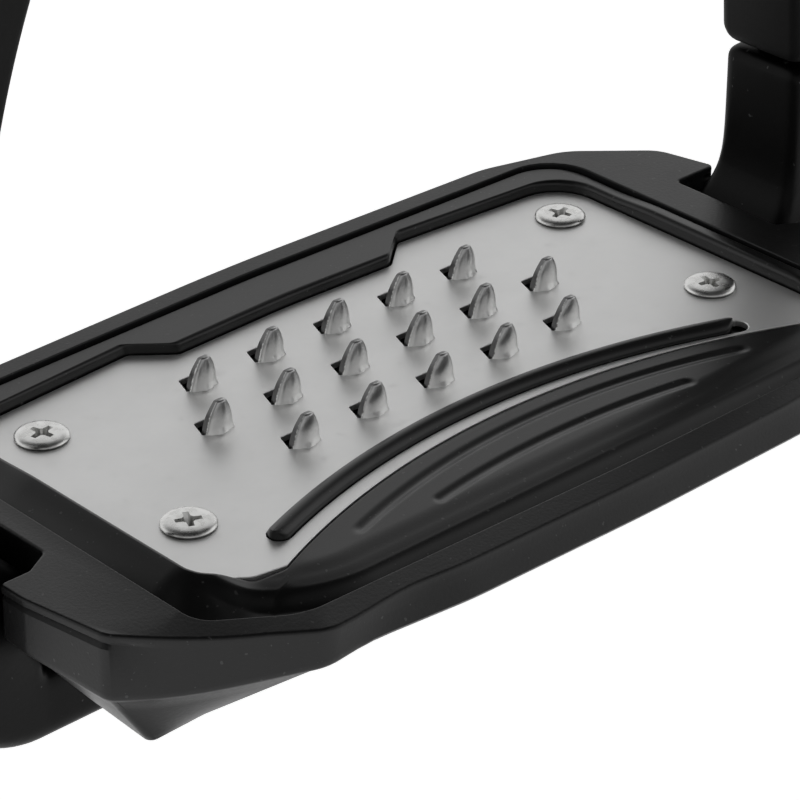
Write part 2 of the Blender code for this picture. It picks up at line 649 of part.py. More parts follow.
def make_plate_screw(name, x, y):
    """Thin flat head with a cross recess, on a plain shank."""
    seat = 0.15 * MM
    profile = [(0, 0.85), (1.9, 0.82), (2.7, 0.68), (3.1, 0.4), (3.1, 0), (1.5, 0), (1.5, -8.2), (1.2, -8.7),
               (0, -8.7)]
    screw = turned(name, [(r * MM, z * MM + seat) for r, z in profile], SCREW_STEEL, 20)
    screw.location = (x, y, PLATE_TOP)
    arm, tip, wing = 0.46 * MM, 0.36 * MM, 1.5 * MM
    cross = [(-tip, -wing), (tip, -wing), (arm, -arm), (wing, -tip), (wing, tip), (arm, arm), (tip, wing),
             (-tip, wing), (-arm, arm), (-wing, tip), (-wing, -tip), (-arm, -arm)]
    tool = boolean(screw, "DIFFERENCE", slab("cross", [cross], seat + 0.15 * MM, 3 * MM))
    tool.location = screw.location
    return screw


def make_insert(name, x, y):
    """Threaded bushing pressed into the shell under each plate screw."""
    top = PAD_BOTTOM - GAP
    profile = [(2.5, 0), (2.5, -2.3), (2.2, -3), (2.5, -3.7), (2.5, -6), (1.7, -6), (1.7, 0), (2.5, 0)]
    insert = turned(name, [(r * MM, z * MM) for r, z in profile], BRONZE)
    insert.location = (x, y, top)
    return insert


def make_bow_screw(name, x):
    """Socket screw that holds the bow under the shell."""
    under = HULL_BOTTOM - GAP - 2 * BAR_HALF + BOW_SCREW_WELL - 0.15 * MM
    profile = [(0, 13.0), (1.7, 13.0), (2.0, 12.6), (2.0, 0), (3.9, 0), (3.9, -2.3), (3.5, -2.7), (0, -2.7)]
    screw = turned(name, [(r * MM, z * MM) for r, z in profile], SCREW_STEEL)
    screw.location = (x, 0, under)
    tool = boolean(screw, "DIFFERENCE", slab("socket", [hexagon(0, 0, 3 * MM)], -6 * MM, -1 * MM))
    tool.location = screw.location
    return screw


def make_bow_nut(name, x):
    top = PAD_BOTTOM - GAP - 0.3 * MM
    nut = place(slab(name, [hexagon(x, 0, NUT_ACROSS), circle(x, 0, 2.25 * MM)], top - 3.4 * MM, top), name, SCREW_STEEL)
    return nut


def make_pivot_pin(name, side):
    half = NECK_HALF - 0.1 * MM
    profile = [(0, half), (PIN_RADIUS - 0.3 * MM, half), (PIN_RADIUS, half - 0.3 * MM), (PIN_RADIUS, -half + 0.3 * MM),
               (PIN_RADIUS - 0.3 * MM, -half), (0, -half)]
    pin = turned(name, profile, SCREW_STEEL)
    pin.rotation_euler = (0, math.radians(90), 0)
    pin.location = (side * PIVOT_X, 0, PIVOT_Z)
    return pin


def make_bush(name, side):
    half = TONGUE_HALF
    profile = [(2.3 * MM, half), (2.3 * MM, -half), (1.75 * MM, -half), (1.75 * MM, half), (2.3 * MM, half)]
    bush = turned(name, profile, BRONZE, 20)
    bush.rotation_euler = (0, math.radians(90), 0)
    bush.location = (side * PIVOT_X, 0, PIVOT_Z)
    return bush


# ---------------------------------------------------------------- assembly

make_upper_bow()
for side, word in ((-1, "left"), (1, "right")):
    make_sleeve(f"{word}_sleeve", side)
    make_pivot_pin(f"{word}_pivot_pin", side)

tread_axis = bpy.data.objects.new("tread_axis", None)
tread_axis.location = (0, 0, PIVOT_Z)
parts.objects.link(tread_axis)

tread = [make_lower_bow(), make_shell(), make_pad(), make_plate()]
for number, (x, y) in enumerate(screw_places(), 1):
    tread.append(make_plate_screw(f"plate_screw_{number}", x, y))
    tread.append(make_insert(f"screw_insert_{number}", x, y))
for side, word in ((-1, "left"), (1, "right")):
    tread.append(make_bow_screw(f"{word}_bow_screw", side * BOW_SCREW_X))
    tread.append(make_bow_nut(f"{word}_bow_nut", side * BOW_SCREW_X))
    tread.append(make_bush(f"{word}_pivot_bush", side))
for piece in tread:
    piece.parent = tread_axis
    piece.matrix_parent_inverse = Matrix.Translation((0, 0, -PIVOT_Z))
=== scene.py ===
import math

import bmesh
import bpy
from mathutils import Matrix, Vector


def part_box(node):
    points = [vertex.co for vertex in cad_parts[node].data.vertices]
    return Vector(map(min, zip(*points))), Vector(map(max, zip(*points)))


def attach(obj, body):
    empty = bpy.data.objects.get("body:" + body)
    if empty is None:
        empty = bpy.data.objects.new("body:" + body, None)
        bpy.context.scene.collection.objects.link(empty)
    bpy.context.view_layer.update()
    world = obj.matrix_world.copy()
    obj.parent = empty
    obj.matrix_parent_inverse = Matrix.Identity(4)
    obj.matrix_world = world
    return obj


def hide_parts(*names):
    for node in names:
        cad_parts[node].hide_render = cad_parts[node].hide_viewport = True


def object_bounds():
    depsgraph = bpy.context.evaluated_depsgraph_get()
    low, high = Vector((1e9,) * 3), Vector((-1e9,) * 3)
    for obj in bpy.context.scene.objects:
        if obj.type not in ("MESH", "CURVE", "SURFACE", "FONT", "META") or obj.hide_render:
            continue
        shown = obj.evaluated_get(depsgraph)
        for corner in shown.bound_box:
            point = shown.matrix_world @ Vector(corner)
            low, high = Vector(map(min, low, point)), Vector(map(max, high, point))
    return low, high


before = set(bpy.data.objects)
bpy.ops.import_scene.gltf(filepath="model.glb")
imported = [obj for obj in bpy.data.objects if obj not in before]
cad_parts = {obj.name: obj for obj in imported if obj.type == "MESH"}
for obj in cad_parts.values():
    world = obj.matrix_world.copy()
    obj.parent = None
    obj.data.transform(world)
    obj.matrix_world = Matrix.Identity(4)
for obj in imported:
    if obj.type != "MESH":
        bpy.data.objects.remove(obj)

cad_low, cad_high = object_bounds()


# ---------------------------------------------------------------- studio
# A plain white floor well under the hanging stirrup, a white sky that is bright near the horizon,
# dim overhead and dimmer on the toe side, two soft lights, and a long lens on the toe side.

MM = 0.001
SHEET = 0.8                      # mm, the grip plate's thickness
plate_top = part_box("grip_plate")[0].z + SHEET * MM


class Wire:
    """An output socket in a node tree. Arithmetic on it adds Math nodes; make adds any other node."""

    def __init__(self, tree, socket):
        self.tree = tree
        self.socket = socket

    def make(self, kind, settings=None, inputs=None, output=0):
        node = self.tree.nodes.new(kind)
        for name, value in (settings or {}).items():
            if name == "stops":
                ramp = node.color_ramp
                while len(ramp.elements) < len(value):
                    ramp.elements.new(0.5)
                for element, (position, tone) in zip(ramp.elements, value):
                    element.position = position
                    element.color = (tone, tone, tone, 1)
            else:
                setattr(node, name, value)
        for name, value in (inputs or {}).items():
            self.plug(value, node.inputs[name])
        return Wire(self.tree, node.outputs[output])

    def plug(self, value, socket):
        if isinstance(value, Wire):
            self.tree.links.new(value.socket, socket)
        else:
            socket.default_value = value

    def math(self, operation, first, second):
        return self.make("ShaderNodeMath", {"operation": operation}, {0: first, 1: second})

    def __add__(self, other):
        return self.math("ADD", self, other)

    __radd__ = __add__

    def __mul__(self, other):
        return self.math("MULTIPLY", self, other)

    __rmul__ = __mul__

    def __sub__(self, other):
        return self.math("SUBTRACT", self, other)

    def __rsub__(self, other):
        return self.math("SUBTRACT", other, self)

    def __mod__(self, other):
        return self.math("FLOORED_MODULO", self, other)

    def part(self, axis):
        """One number of a vector: 0 for X, 1 for Y, 2 for Z."""
        return self.make("ShaderNodeSeparateXYZ", {}, {0: self}, axis)

    def noise(self, scale, detail=2.0, roughness=0.5):
        return self.make("ShaderNodeTexNoise", {}, {"Vector": self, "Scale": scale, "Detail": detail,
                                                    "Roughness": roughness})

    def between(self, low, high, start=0.0, end=1.0):
        """The start value below low, the end value above high, smooth between."""
        return self.make("ShaderNodeMapRange", {"interpolation_type": "SMOOTHSTEP"},
                         {"Value": self, "From Min": low, "From Max": high, "To Min": start, "To Max": end})

    def blend(self, first, second):
        """A colour between two, by this mask."""
        def four(colour):
            return colour if isinstance(colour, Wire) else (*colour, 1)
        colours = {0: self, 6: four(first), 7: four(second)}
        return self.make("ShaderNodeMix", {"data_type": "RGBA"}, colours, 2)


def new_finish(name, **fixed):
    """A material with these uniform values; returns it and its Object coordinates."""
    material = bpy.data.materials.new(name)
    material.use_nodes = True
    shader = material.node_tree.nodes["Principled BSDF"]
    for key, value in fixed.items():
        shader.inputs[key.replace("_", " ")].default_value = value
    coordinates = material.node_tree.nodes.new("ShaderNodeTexCoord")
    return material, Wire(material.node_tree, coordinates.outputs["Object"])


def placed(name, data):
    """A new object in the scene, at the origin."""
    thing = bpy.data.objects.new(name, data)
    bpy.context.scene.collection.objects.link(thing)
    return thing


floor_mesh = bpy.data.meshes.new("floor")
floor_shape = bmesh.new()
bmesh.ops.create_grid(floor_shape, x_segments=1, y_segments=1, size=6)
floor_shape.to_mesh(floor_mesh)
floor_shape.free()
floor_mesh.materials.append(new_finish("floor_paint", Base_Color=(0.93, 0.93, 0.93, 1), Roughness=0.9,
                                       Emission_Color=(1, 1, 1, 1), Emission_Strength=0.66)[0])
floor = placed("floor", floor_mesh)
floor.location.z = cad_low.z - 0.09

SKY_STOPS = ((0.0, 1.0), (0.53, 1.0), (0.63, 0.6), (0.74, 0.16), (0.9, 0.04))    # (height, brightness)
TOE_SIDE = (-0.67, -0.74, 0)
sky = bpy.data.worlds.new("studio_sky")
bpy.context.scene.world = sky
sky.use_nodes = True
way = Wire(sky.node_tree, sky.node_tree.nodes.new("ShaderNodeTexCoord").outputs["Generated"])
brightness = way.make("ShaderNodeValToRGB", {"stops": SKY_STOPS}, {0: way.part(2)})
dimming = way.make("ShaderNodeVectorMath", {"operation": "DOT_PRODUCT"}, {0: way, 1: TOE_SIDE}, "Value")
dimmed = way.make("ShaderNodeVectorMath", {"operation": "SCALE"},
                  {0: brightness, "Scale": dimming.between(0.0, 0.6, 1.0, 0.5)})
dimmed.plug(dimmed, sky.node_tree.nodes["Background"].inputs["Color"])


def softbox(name, place, target, size, power):
    """A square soft light at a place, facing a target."""
    lamp = bpy.data.lights.new(name, "AREA")
    lamp.size = size
    lamp.energy = power
    light = placed(name, lamp)
    light.location = place
    light.rotation_mode = "QUATERNION"
    light.rotation_quaternion = (Vector(place) - target).to_track_quat("Z", "Y")


tread_middle = Vector((0, 0, plate_top))
softbox("key_light", (-0.5, 0.35, 0.75), tread_middle, 0.7, 0.3)
softbox("fill_light", (-0.7, -0.9, 0.35), tread_middle, 0.8, 0.25)

LOOK_DOWN, LOOK_ROUND = 29.2275, -42.675    # degrees
camera = placed("camera", bpy.data.cameras.new("camera"))
camera.location = (-0.24081, -0.26302, plate_top + 0.19466)
camera.rotation_euler = (math.radians(90 - LOOK_DOWN), 0, math.radians(LOOK_ROUND))
camera.data.lens = 162.1
camera.data.clip_start = 0.02
bpy.context.scene.camera = camera
bpy.context.scene.view_settings.view_transform = "Standard"


# ---------------------------------------------------------------- tread shell
# The moulded black tray under the pad: a crowned rim, a wing at each end with a notch for the side
# branch, a short wall in front and a keel that narrows down to the bow, to which it is bolted from
# below. Glass-filled nylon with a fine spark-eroded grain.

def dressed(material, here, colour, roughness, relief=None, strength=0.0, depth=0.0):
    """Feed a new finish its colour, roughness and relief, whose depth is in metres."""
    shader = here.tree.nodes["Principled BSDF"]
    here.plug(colour, shader.inputs["Base Color"])
    here.plug(roughness, shader.inputs["Roughness"])
    if relief:
        bump = {"Height": relief, "Strength": strength, "Distance": depth}
        here.plug(here.make("ShaderNodeBump", {}, bump), shader.inputs["Normal"])
    return material


def shell_plastic():
    material, here = new_finish("shell_plastic", IOR=1.40)
    grain = here.noise(2600, 2)
    rub = here.noise(240, 4)
    dust = here.noise(1500, 1).between(0.73, 0.77)
    tone = here.noise(60, 3).between(0.35, 0.65).blend((0.0048, 0.0048, 0.005), (0.0068, 0.0068, 0.007))
    return dressed(material, here, (0.3 * dust).blend(tone, (0.10, 0.10, 0.10)),
                   0.30 + 0.10 * grain + 0.06 * rub, grain, 0.35, 0.00005)


def mirrored(right_side, rear_middle=None):
    """A whole outline from its right side, front to rear; the left side mirrors it."""
    left = [(-x, y, radius) for x, y, radius in reversed(right_side)]
    return right_side + ([rear_middle] if rear_middle else []) + left


def inset(corners, depth):
    """The outline moved inward: round corners tighten, hollow ones open."""
    inner = []
    for i, (x, y, radius) in enumerate(corners):
        here = Vector((x, y))
        arriving = (here - Vector(corners[i - 1][:2])).normalized()
        leaving = (Vector(corners[(i + 1) % len(corners)][:2]) - here).normalized()
        inward = Vector((-arriving.y, arriving.x)) + Vector((-leaving.y, leaving.x))
        scale = depth / (1 + arriving.dot(leaving))
        turn = arriving.x * leaving.y - arriving.y * leaving.x
        tightened = radius - depth if turn > 0 else radius + depth
        inner.append((x + inward.x * scale, y + inward.y * scale, max(tightened, 0.03)))
    return inner


def outline(corners, steps=8):
    """Points of an outline in metres, each (x, y, radius) corner in mm turned into an arc."""
    points = []
    for i, (x, y, radius) in enumerate(corners):
        here = Vector((x, y))
        back = (Vector(corners[i - 1][:2]) - here).normalized()
        ahead = (Vector(corners[(i + 1) % len(corners)][:2]) - here).normalized()
        half = back.angle(ahead) / 2
        reach = radius / math.tan(half)
        middle = here + (back + ahead).normalized() * (radius / math.sin(half))
        first = here + back * reach - middle
        last = here + ahead * reach - middle
        for step in range(steps + 1):
            points.append((middle + first.lerp(last, step / steps).normalized() * radius) * MM)
    return points


def bridge(shape, rings, closed=False):
    """Faces between matching rings of points; returns the rings' vertices."""
    loops = [[shape.verts.new(point) for point in ring] for ring in rings]
    count = len(rings[0])
    for lower, upper in list(zip(loops, loops[1:])) + ([(loops[-1], loops[0])] if closed else []):
        for i in range(count):
            j = (i + 1) % count
            shape.faces.new((lower[i], lower[j], upper[j], upper[i]))
    return loops


def skin(name, rings, closed=False):
    """A smooth surface through matching rings, with flat ends unless it closes on itself."""
    shape = bmesh.new()
    loops = bridge(shape, rings, closed)
    if not closed:
        shape.faces.new(loops[0][::-1])
        shape.faces.new(loops[-1])
    return finished_mesh(name, shape)


def finished_mesh(name, shape, sharp=40):
    bmesh.ops.remove_doubles(shape, verts=shape.verts, dist=0.5e-6)
    bmesh.ops.recalc_face_normals(shape, faces=shape.faces)
    mesh = bpy.data.meshes.new(name)
    shape.to_mesh(mesh)
    shape.free()
    mesh.shade_smooth()
    mesh.set_sharp_from_angle(angle=math.radians(sharp))
    return mesh


def show(name, mesh, material, body, slot, *nodes):
    """Put a finished piece on its body, in place of its CAD nodes; the slot is not used."""
    piece = placed(name, mesh)
    piece.data.materials.clear()
    piece.data.materials.append(material)
    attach(piece, body)
    if nodes:
        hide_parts(*nodes)


def quarter_round(steps):
    """How far a rounded edge of radius 1 is set in and set down, at even turns through a right angle."""
    turns = [math.radians(90 * step / steps) for step in range(steps + 1)]
    return [(1 - math.sin(turn), 1 - math.cos(turn)) for turn in turns]


def level(point, height):
    """A point in metres over another, height in mm above the plate's top."""
    return Vector((point.x, point.y, plate_top + height * MM))


def clamped(value):
    return min(1.0, max(0.0, value))


# heights in mm above the grip plate's top
RIM_TOP, SKIRT, POCKET_FLOOR, KEEL_BOTTOM = 1.75, -2.2, -3.2, -12.5
SKIRT_DROP = 4.1                 # how much deeper the wall is under the wings
FRONT_FALL, CORNER_CUT = 0.12, 0.9
OUTER_ROUND, POCKET_ROUND = 0.35, 0.15
rim_corners = mirrored([(0.01, -40.5, 300), (25, -40.1, 60), (43.2, -38.4, 5), (60.6, -24.6, 2.5),
                        (62.4, -14, 4), (62.5, -10.0, 0.7), (58.6, -10.0, 0.6), (55.4, -8.2, 0.6),
                        (55.4, 7.9, 0.6), (62.2, 7.9, 0.7), (60.3, 15.8, 5), (51.4, 23.7, 9),
                        (40, 26.8, 14)], (0, 28.0, 300))[:-1]
keel_corners = mirrored([(0.01, -25.5, 200), (25, -25.4, 60), (50, -25.7, 3), (56.4, -25.9, 0.9),
                         (55.9, -15, 2), (55.6, -10.2, 0.3), (55.4, -9.3, 0.3), (55.2, -8.1, 0.3),
                         (55.2, 7.9, 0.4), (55.5, 8.6, 0.3), (55, 12, 3), (48, 15.5, 5),
                         (36, 16.8, 8)], (0, 17.4, 200))[:-1]
pocket_corners = [(-43, -34.9, 7), (0, -35.7, 200), (41, -35.5, 7), (49.5, -28.6, 4.5), (49.5, 23.7, 6.5),
                  (0, 25.0, 150), (-52.1, 23.7, 6.5), (-52.1, -28.0, 4.5)]


def smooth_step(low, high, value):
    t = clamped((value - low) / (high - low))
    return t * t * (3 - 2 * t)


def rim_height(x, y):
    """Top of the rim in mm: level at the wings and behind, lower at the front edge and its cut corners."""
    fall = max(0.0, -y / MM - 34.6)
    along = ((abs(x) / MM - 43.2) * 17.4 + (y / MM + 38.4) * 13.8) / 493
    outward = 0.622 * abs(x) / MM - 0.784 * y / MM
    cut = math.sin(math.pi * clamped(along)) * clamped((outward - 52) / 5)
    return RIM_TOP - FRONT_FALL * fall - CORNER_CUT * cut


LEAN = 1.6                       # mm that the front wall's top edge stands behind its foot


def set_back(points, share=1.0):
    """Lean the front wall back, less towards the corners."""
    for p in points:
        if p.y < -30 * MM:
            p.y += LEAN * MM * share * (1 - smooth_step(30, 43, abs(p.x) / MM))
    return points


def spread(line, steps=8):
    """An outline with points added along its straight sides, as many on every ring."""
    points = []
    for i, point in enumerate(line):
        points.append(point)
        if i % (steps + 1) == steps:
            corner = i // (steps + 1)
            ahead = rim_corners[(corner + 1) % len(rim_corners)]
            parts = max(1, round(math.dist(rim_corners[corner][:2], ahead[:2]) / 2.5))
            points += [point.lerp(line[(i + 1) % len(line)], part / parts) for part in range(1, parts)]
    return points


def skirt(x, y):
    """Foot of the shell's wall in mm: shallow in front and behind, deep under the wings."""
    behind = clamped((y / MM + 25) / 14)
    return SKIRT - SKIRT_DROP * smooth_step(36, 58, abs(x) / MM) * (1 - 0.4 * behind)


def shell_mesh():
    rings = []

    def add(depth, height, lean=1.0):
        """One ring round the outside: inset in mm, and its height in mm as a function of the point."""
        points = set_back(spread(outline(inset(rim_corners, depth))), lean)
        rings.append([level(p, height(p.x, p.y)) for p in points])

    def groove(depth, drop):
        """A ring that dips inward under the wings' top edge and stays in line elsewhere."""
        lean = 1 - (drop - OUTER_ROUND) / 3.3
        flush = set_back(spread(outline(inset(rim_corners, 0.02))), lean)
        dipped = set_back(spread(outline(inset(rim_corners, 0.02 + depth))), lean)
        ring = []
        for f, d in zip(flush, dipped):
            at_end = clamped((abs(f.x) / MM - 57.5) / 3.0) if f.y / MM < 8 else 0.0
            deeper = 0.35 * at_end * clamped((-10 - f.y / MM) / 14) * (drop - 0.85)
            ring.append(level(f.lerp(d, at_end), rim_height(f.x, f.y) - drop - deeper))
        rings.append(ring)

    add(OUTER_ROUND + 0.08, rim_height)
    for out, down in quarter_round(6):
        add(OUTER_ROUND * out, lambda x, y: rim_height(x, y) - OUTER_ROUND * down)
    for depth, drop in ((0.0, 0.85), (0.5, 1.02), (0.5, 1.25), (0.05, 1.6)):
        groove(depth, drop)
    add(0.02, lambda x, y: skirt(x, y) + 0.9, 0.18)
    add(0.0, lambda x, y: skirt(x, y) + 0.35, 0)
    add(0.2, skirt, 0)
    crease = spread(outline(inset(rim_corners, 0.9)))
    keel = spread(outline(keel_corners))
    for share in (0.05, 0.3, 0.6, 0.9, 1.0):
        ring = []
        for p, k in zip(crease, keel):
            start = level(p, skirt(p.x, p.y) - 0.35)
            ring.append(start.lerp(level(k, KEEL_BOTTOM + 0.25), share))
        rings.append(ring)
    rings.append([level(Vector((k.x * 0.997, k.y * 0.993)), KEEL_BOTTOM) for k in keel])
    shape = bmesh.new()
    shape.faces.new(bridge(shape, rings)[-1])

    # pocket for the pad: a rounded lip, a wall and a floor
    inner = []
    for out, down in [(1 + 0.08 / POCKET_ROUND, 0.0)] + quarter_round(5):
        drop = POCKET_ROUND * down
        points = outline(inset(pocket_corners, -POCKET_ROUND * out))
        inner.append([level(p, rim_height(p.x, p.y) - drop) for p in points])
    inner.append([level(p, POCKET_FLOOR) for p in outline(pocket_corners)])
    shape.faces.new(bridge(shape, inner)[-1])

    # the flat top between the outer edge and the pocket
    shape.edges.ensure_lookup_table()
    rim_edges = [e for e in shape.edges if len(e.link_faces) == 1]
    bmesh.ops.triangle_fill(shape, edges=rim_edges, use_beauty=True)
    return finished_mesh("tread_shell_skin", shape)


show("tread_shell_body", shell_mesh(), shell_plastic(), "tread", "shell_plastic", "tread_shell")


# ---------------------------------------------------------------- rubber pad
# A soft black moulding that lies in the shell: a raised lip round three sides of the steel plate, a
# toe panel with two engraved arcs that steps down to the shell in front, and the long curved rib
# that grips the sole through the slot in the plate.

PLATE_ARC_X, PLATE_ARC_Y, PLATE_ARC_RADIUS = 1.8, -16.55, 95.0


def front_edge_y(x):
    """The plate's hollow front edge, in mm."""
    return PLATE_ARC_Y - PLATE_ARC_RADIUS + math.sqrt(PLATE_ARC_RADIUS ** 2 - (x - PLATE_ARC_X) ** 2)


def plate_line(margin, arc_steps=60):
    """The plate's outline in mm, grown by a margin, anticlockwise from its left front corner."""
    arc_left, arc_right = -37.0, 42.5
    places = [arc_left + (arc_right - arc_left) * step / arc_steps for step in range(arc_steps + 1)]
    front_arc = [Vector((x, front_edge_y(x))) for x in places]
    corners = [(42.5, -25.7, 1), (46.6, -27.4, 1.6), (46.6, 19.5, 5.5), (20.9, 21.3, 1.2),
               (16.4, 17.5, 1.2), (0, 18.0, 80), (-16.2, 17.5, 1.2), (-20.7, 21.3, 1.2), (-45.9, 19.5, 5.5),
               (-45.9, -20.5, 2.8), (-41.0, -24.2, 2.0), (-37.0, -24.8, 1)]
    sides = [p / MM for p in outline(corners, 6)]
    whole = front_arc + sides[7:-7]
    if not margin:
        return whole
    wider = []
    for i, point in enumerate(whole):
        along = whole[(i + 1) % len(whole)] - whole[i - 1]
        outward = Vector((along.y, -along.x)).normalized()
        wider.append(point + outward * margin)
    return wider


def rays_to(line, count):
    """Where evenly spread rays from the middle of the tread meet a closed line, in mm."""
    met = []
    for ray in range(count):
        angle = -math.pi + 2 * math.pi * (ray + 0.5) / count
        way = Vector((math.cos(angle), math.sin(angle)))
        for i in range(len(line)):
            a, b = line[i - 1], line[i]
            side_a = way.x * a.y - way.y * a.x
            side_b = way.x * b.y - way.y * b.x
            if side_a * side_b <= 0 and (a + b).dot(way) > 0 and side_a != side_b:
                met.append(a.lerp(b, side_a / (side_a - side_b)))
                break
    return met


# engraved arcs as (x and y of the apex, radius, left end, right end)
GROOVE_ONE = (2.2, -19.7, 88, -26.4, 31.4)
GROOVE_TWO = (2.0, -24.1, 105, -16.2, 21.4)
GROOVE_WIDTH, GROOVE_DEPTH = 1.7, 0.24
VALLEY, TOE_DROP = 0.3, 1.6      # mm down from the toe panel, and on to the shell
LEFT_FALL, RIGHT_FALL = 3.4, 0.15


def arc_groove(x, y, arc):
    """How far a soft engraved arc is cut at a point, in mm."""
    apex_x, apex_y, radius, left, right = arc
    off = math.hypot(x - apex_x, y - apex_y + radius) - radius
    distance = math.hypot(off, max(left - x, x - right, 0.0))
    return GROOVE_DEPTH * (1 - smooth_step(0, GROOVE_WIDTH * 0.62, distance))


def beyond_valley(x, y):
    """Distance in mm outside the round-cornered line of the valley, negative inside it."""
    radius = 16
    across = (x - 54 if x > 0 else -x - 46.2) + radius
    along = abs(y - 10) - 38.7 + radius
    return math.hypot(max(across, 0), max(along, 0)) + min(max(across, along), 0) - radius


def pad_height(x, y):
    """Top of the pad above the plate's top, in mm."""
    beyond = beyond_valley(x, y)
    lip_start = -29 if x < 0 else -25
    beside = smooth_step(lip_start, -19, y) * smooth_step(41, 45, abs(x - 0.25)) if y < 0 else 1.0
    valley = VALLEY * smooth_step(-2.6, 0.6, beyond) + 0.2 * smooth_step(0, 1.9, beyond)
    toe = -0.02 - valley - TOE_DROP * smooth_step(1.5, 3.6, beyond)
    left_fall = LEFT_FALL * clamped((-x - 46.3) / 5.6) ** 1.5
    right_fall = RIGHT_FALL * smooth_step(47.5, 49.5, x)
    lip = RIM_TOP - 0.12 - 0.3 * smooth_step(4, 12, y) - max(left_fall, right_fall)
    height = toe + (lip - toe) * beside
    if beside < 0.05:
        height -= arc_groove(x, y, GROOVE_ONE)
        height -= arc_groove(x, y, GROOVE_TWO)
    return height


SEAT, UNDERSIDE = -1.1, -2.9     # mm from the plate's top to the pad's seat for it, and to its underside


def pad_mesh():
    rays, across = 880, 84
    wall = rays_to(plate_line(0.22), rays)
    rim = rays_to([p / MM for p in outline(inset(pocket_corners, 0.4), 12)], rays)
    rings = []

    def add(points, heights):
        rings.append([level(p * MM, h) for p, h in zip(points, heights)])

    ways = [(r - w).normalized() for w, r in zip(wall, rim)]
    inner_round, outer_round = 0.7, 0.45
    shelf = [w + way * inner_round for w, way in zip(wall, ways)]
    edge = [r - way * outer_round for r, way in zip(rim, ways)]
    shelf_heights = [pad_height(p.x, p.y) for p in shelf]
    edge_heights = [pad_height(p.x, p.y) for p in edge]
    for share in (0.02, 0.5, 1.0):
        add([w * share for w in wall], [SEAT] * rays)
    for out, down in quarter_round(5):
        points = [w + way * (inner_round * down) for w, way in zip(wall, ways)]
        add(points, [h - min(inner_round, 0.15 + 0.34 * max(h, 0)) * out for h in shelf_heights])
    for step in range(1, across):
        points = [s.lerp(e, step / across) for s, e in zip(shelf, edge)]
        add(points, [pad_height(p.x, p.y) for p in points])
    for out, down in quarter_round(5):
        points = [e + way * (outer_round * (1 - out)) for e, way in zip(edge, ways)]
        add(points, [h - outer_round * down for h in edge_heights])
    add(rim, [UNDERSIDE] * rays)
    add([w * 0.02 for w in wall], [UNDERSIDE] * rays)
    return skin("tread_pad_skin", rings)


def pad_rubber():
    material, here = new_finish("pad_rubber", IOR=1.44)
    grain = here.noise(3200, 2)
    dust = here.noise(1700, 1).between(0.72, 0.76)
    tone = here.noise(90, 3).between(0.3, 0.7).blend((0.0018, 0.0018, 0.0018), (0.0030, 0.0030, 0.0030))
    return dressed(material, here, (0.3 * dust).blend(tone, (0.12, 0.12, 0.12)), 0.29 + 0.08 * grain,
                   grain, 0.1, 0.00003)


RUBBER = pad_rubber()
show("tread_pad_body", pad_mesh(), RUBBER, "tread", "pad_rubber", "tread_pad")

SLOT_WIDTH = 2.8
SLOT_LEFT, SLOT_RIGHT = -34.9, 36.6
SLOT_APEX_X, SLOT_APEX_Y, SLOT_RADIUS = -0.3, -13.6, 93.0


def slot_line(margin, left, right, steps=48):
    """Outline in mm of the curved slot, or of the rib in it, with round ends."""
    half = SLOT_WIDTH / 2 - margin
    start = math.asin((left + half - SLOT_APEX_X) / SLOT_RADIUS)
    stop = math.asin((right - half - SLOT_APEX_X) / SLOT_RADIUS)

    def at(angle, radius):
        return Vector((SLOT_APEX_X + radius * math.sin(angle),
                       SLOT_APEX_Y - SLOT_RADIUS + radius * math.cos(angle)))

    line = []
    for first, last, side in ((start, stop, -1), (stop, start, 1)):
        for step in range(steps + 1):
            line.append(at(first + (last - first) * step / steps, SLOT_RADIUS + side * half))
        for step in range(1, 8):
            turn = side * math.pi / 2 - last + math.pi * step / 8
            line.append(at(last, SLOT_RADIUS) + Vector((math.cos(turn), math.sin(turn))) * half)
    return line


def rib_mesh():
    crown = 1.15
    left, right = SLOT_LEFT + 0.1, SLOT_RIGHT - 1.9
    sizes = [(0.12, -1.6), (0.12, -0.1)]                # (margin, height) up the rib
    for step in range(1, 11):
        turn = math.radians(9 * step)
        margin = 0.12 + (SLOT_WIDTH / 2 - 0.16) * (1 - math.cos(turn)) ** 0.8
        sizes.append((min(margin, SLOT_WIDTH / 2 - 0.05), crown * math.sin(turn) ** 0.8))
    return skin("sole_rib_skin", [[level(p * MM, height) for p in slot_line(margin, left, right)]
                                  for margin, height in sizes])


show("sole_rib", rib_mesh(), RUBBER, "tread", "pad_rubber")


# ---------------------------------------------------------------- steel grip plate
# A stamped sheet of stainless steel, 0.8 mm thick, satin-brushed along its length, with a hollow
# front edge, a curved slot for the rib, and a lanced hole behind each of its sixteen teeth.
# Four screws hold it down on the pad.

TOOTH_PITCH, ROW_PITCH = 10.0, 8.66
TOOTH_X, TOOTH_Y = 1.16, 1.44
TOOTH_ROWS = ((1, 5), (0, 6), (-1, 5))    # (row, teeth in it)
TOOTH_BASE, TOOTH_HEIGHT = 3.6, 3.85
HOLE_DEPTH, HOLE_BACK = 2.7, 2.7
SCREW_X, SCREW_Y, SCREW_HOLE = 39.7, 12.44, 1.9
SCREW_SHIFT_X, SCREW_SHIFT_Y = 0.5, 0.6
screw_places = [(SCREW_SHIFT_X + side * SCREW_X, SCREW_SHIFT_Y + end * SCREW_Y)
                for side in (-1, 1) for end in (-1, 1)]
tooth_places = [(TOOTH_X + (i - (count - 1) / 2) * TOOTH_PITCH, TOOTH_Y + row * ROW_PITCH)
                for row, count in TOOTH_ROWS for i in range(count)]


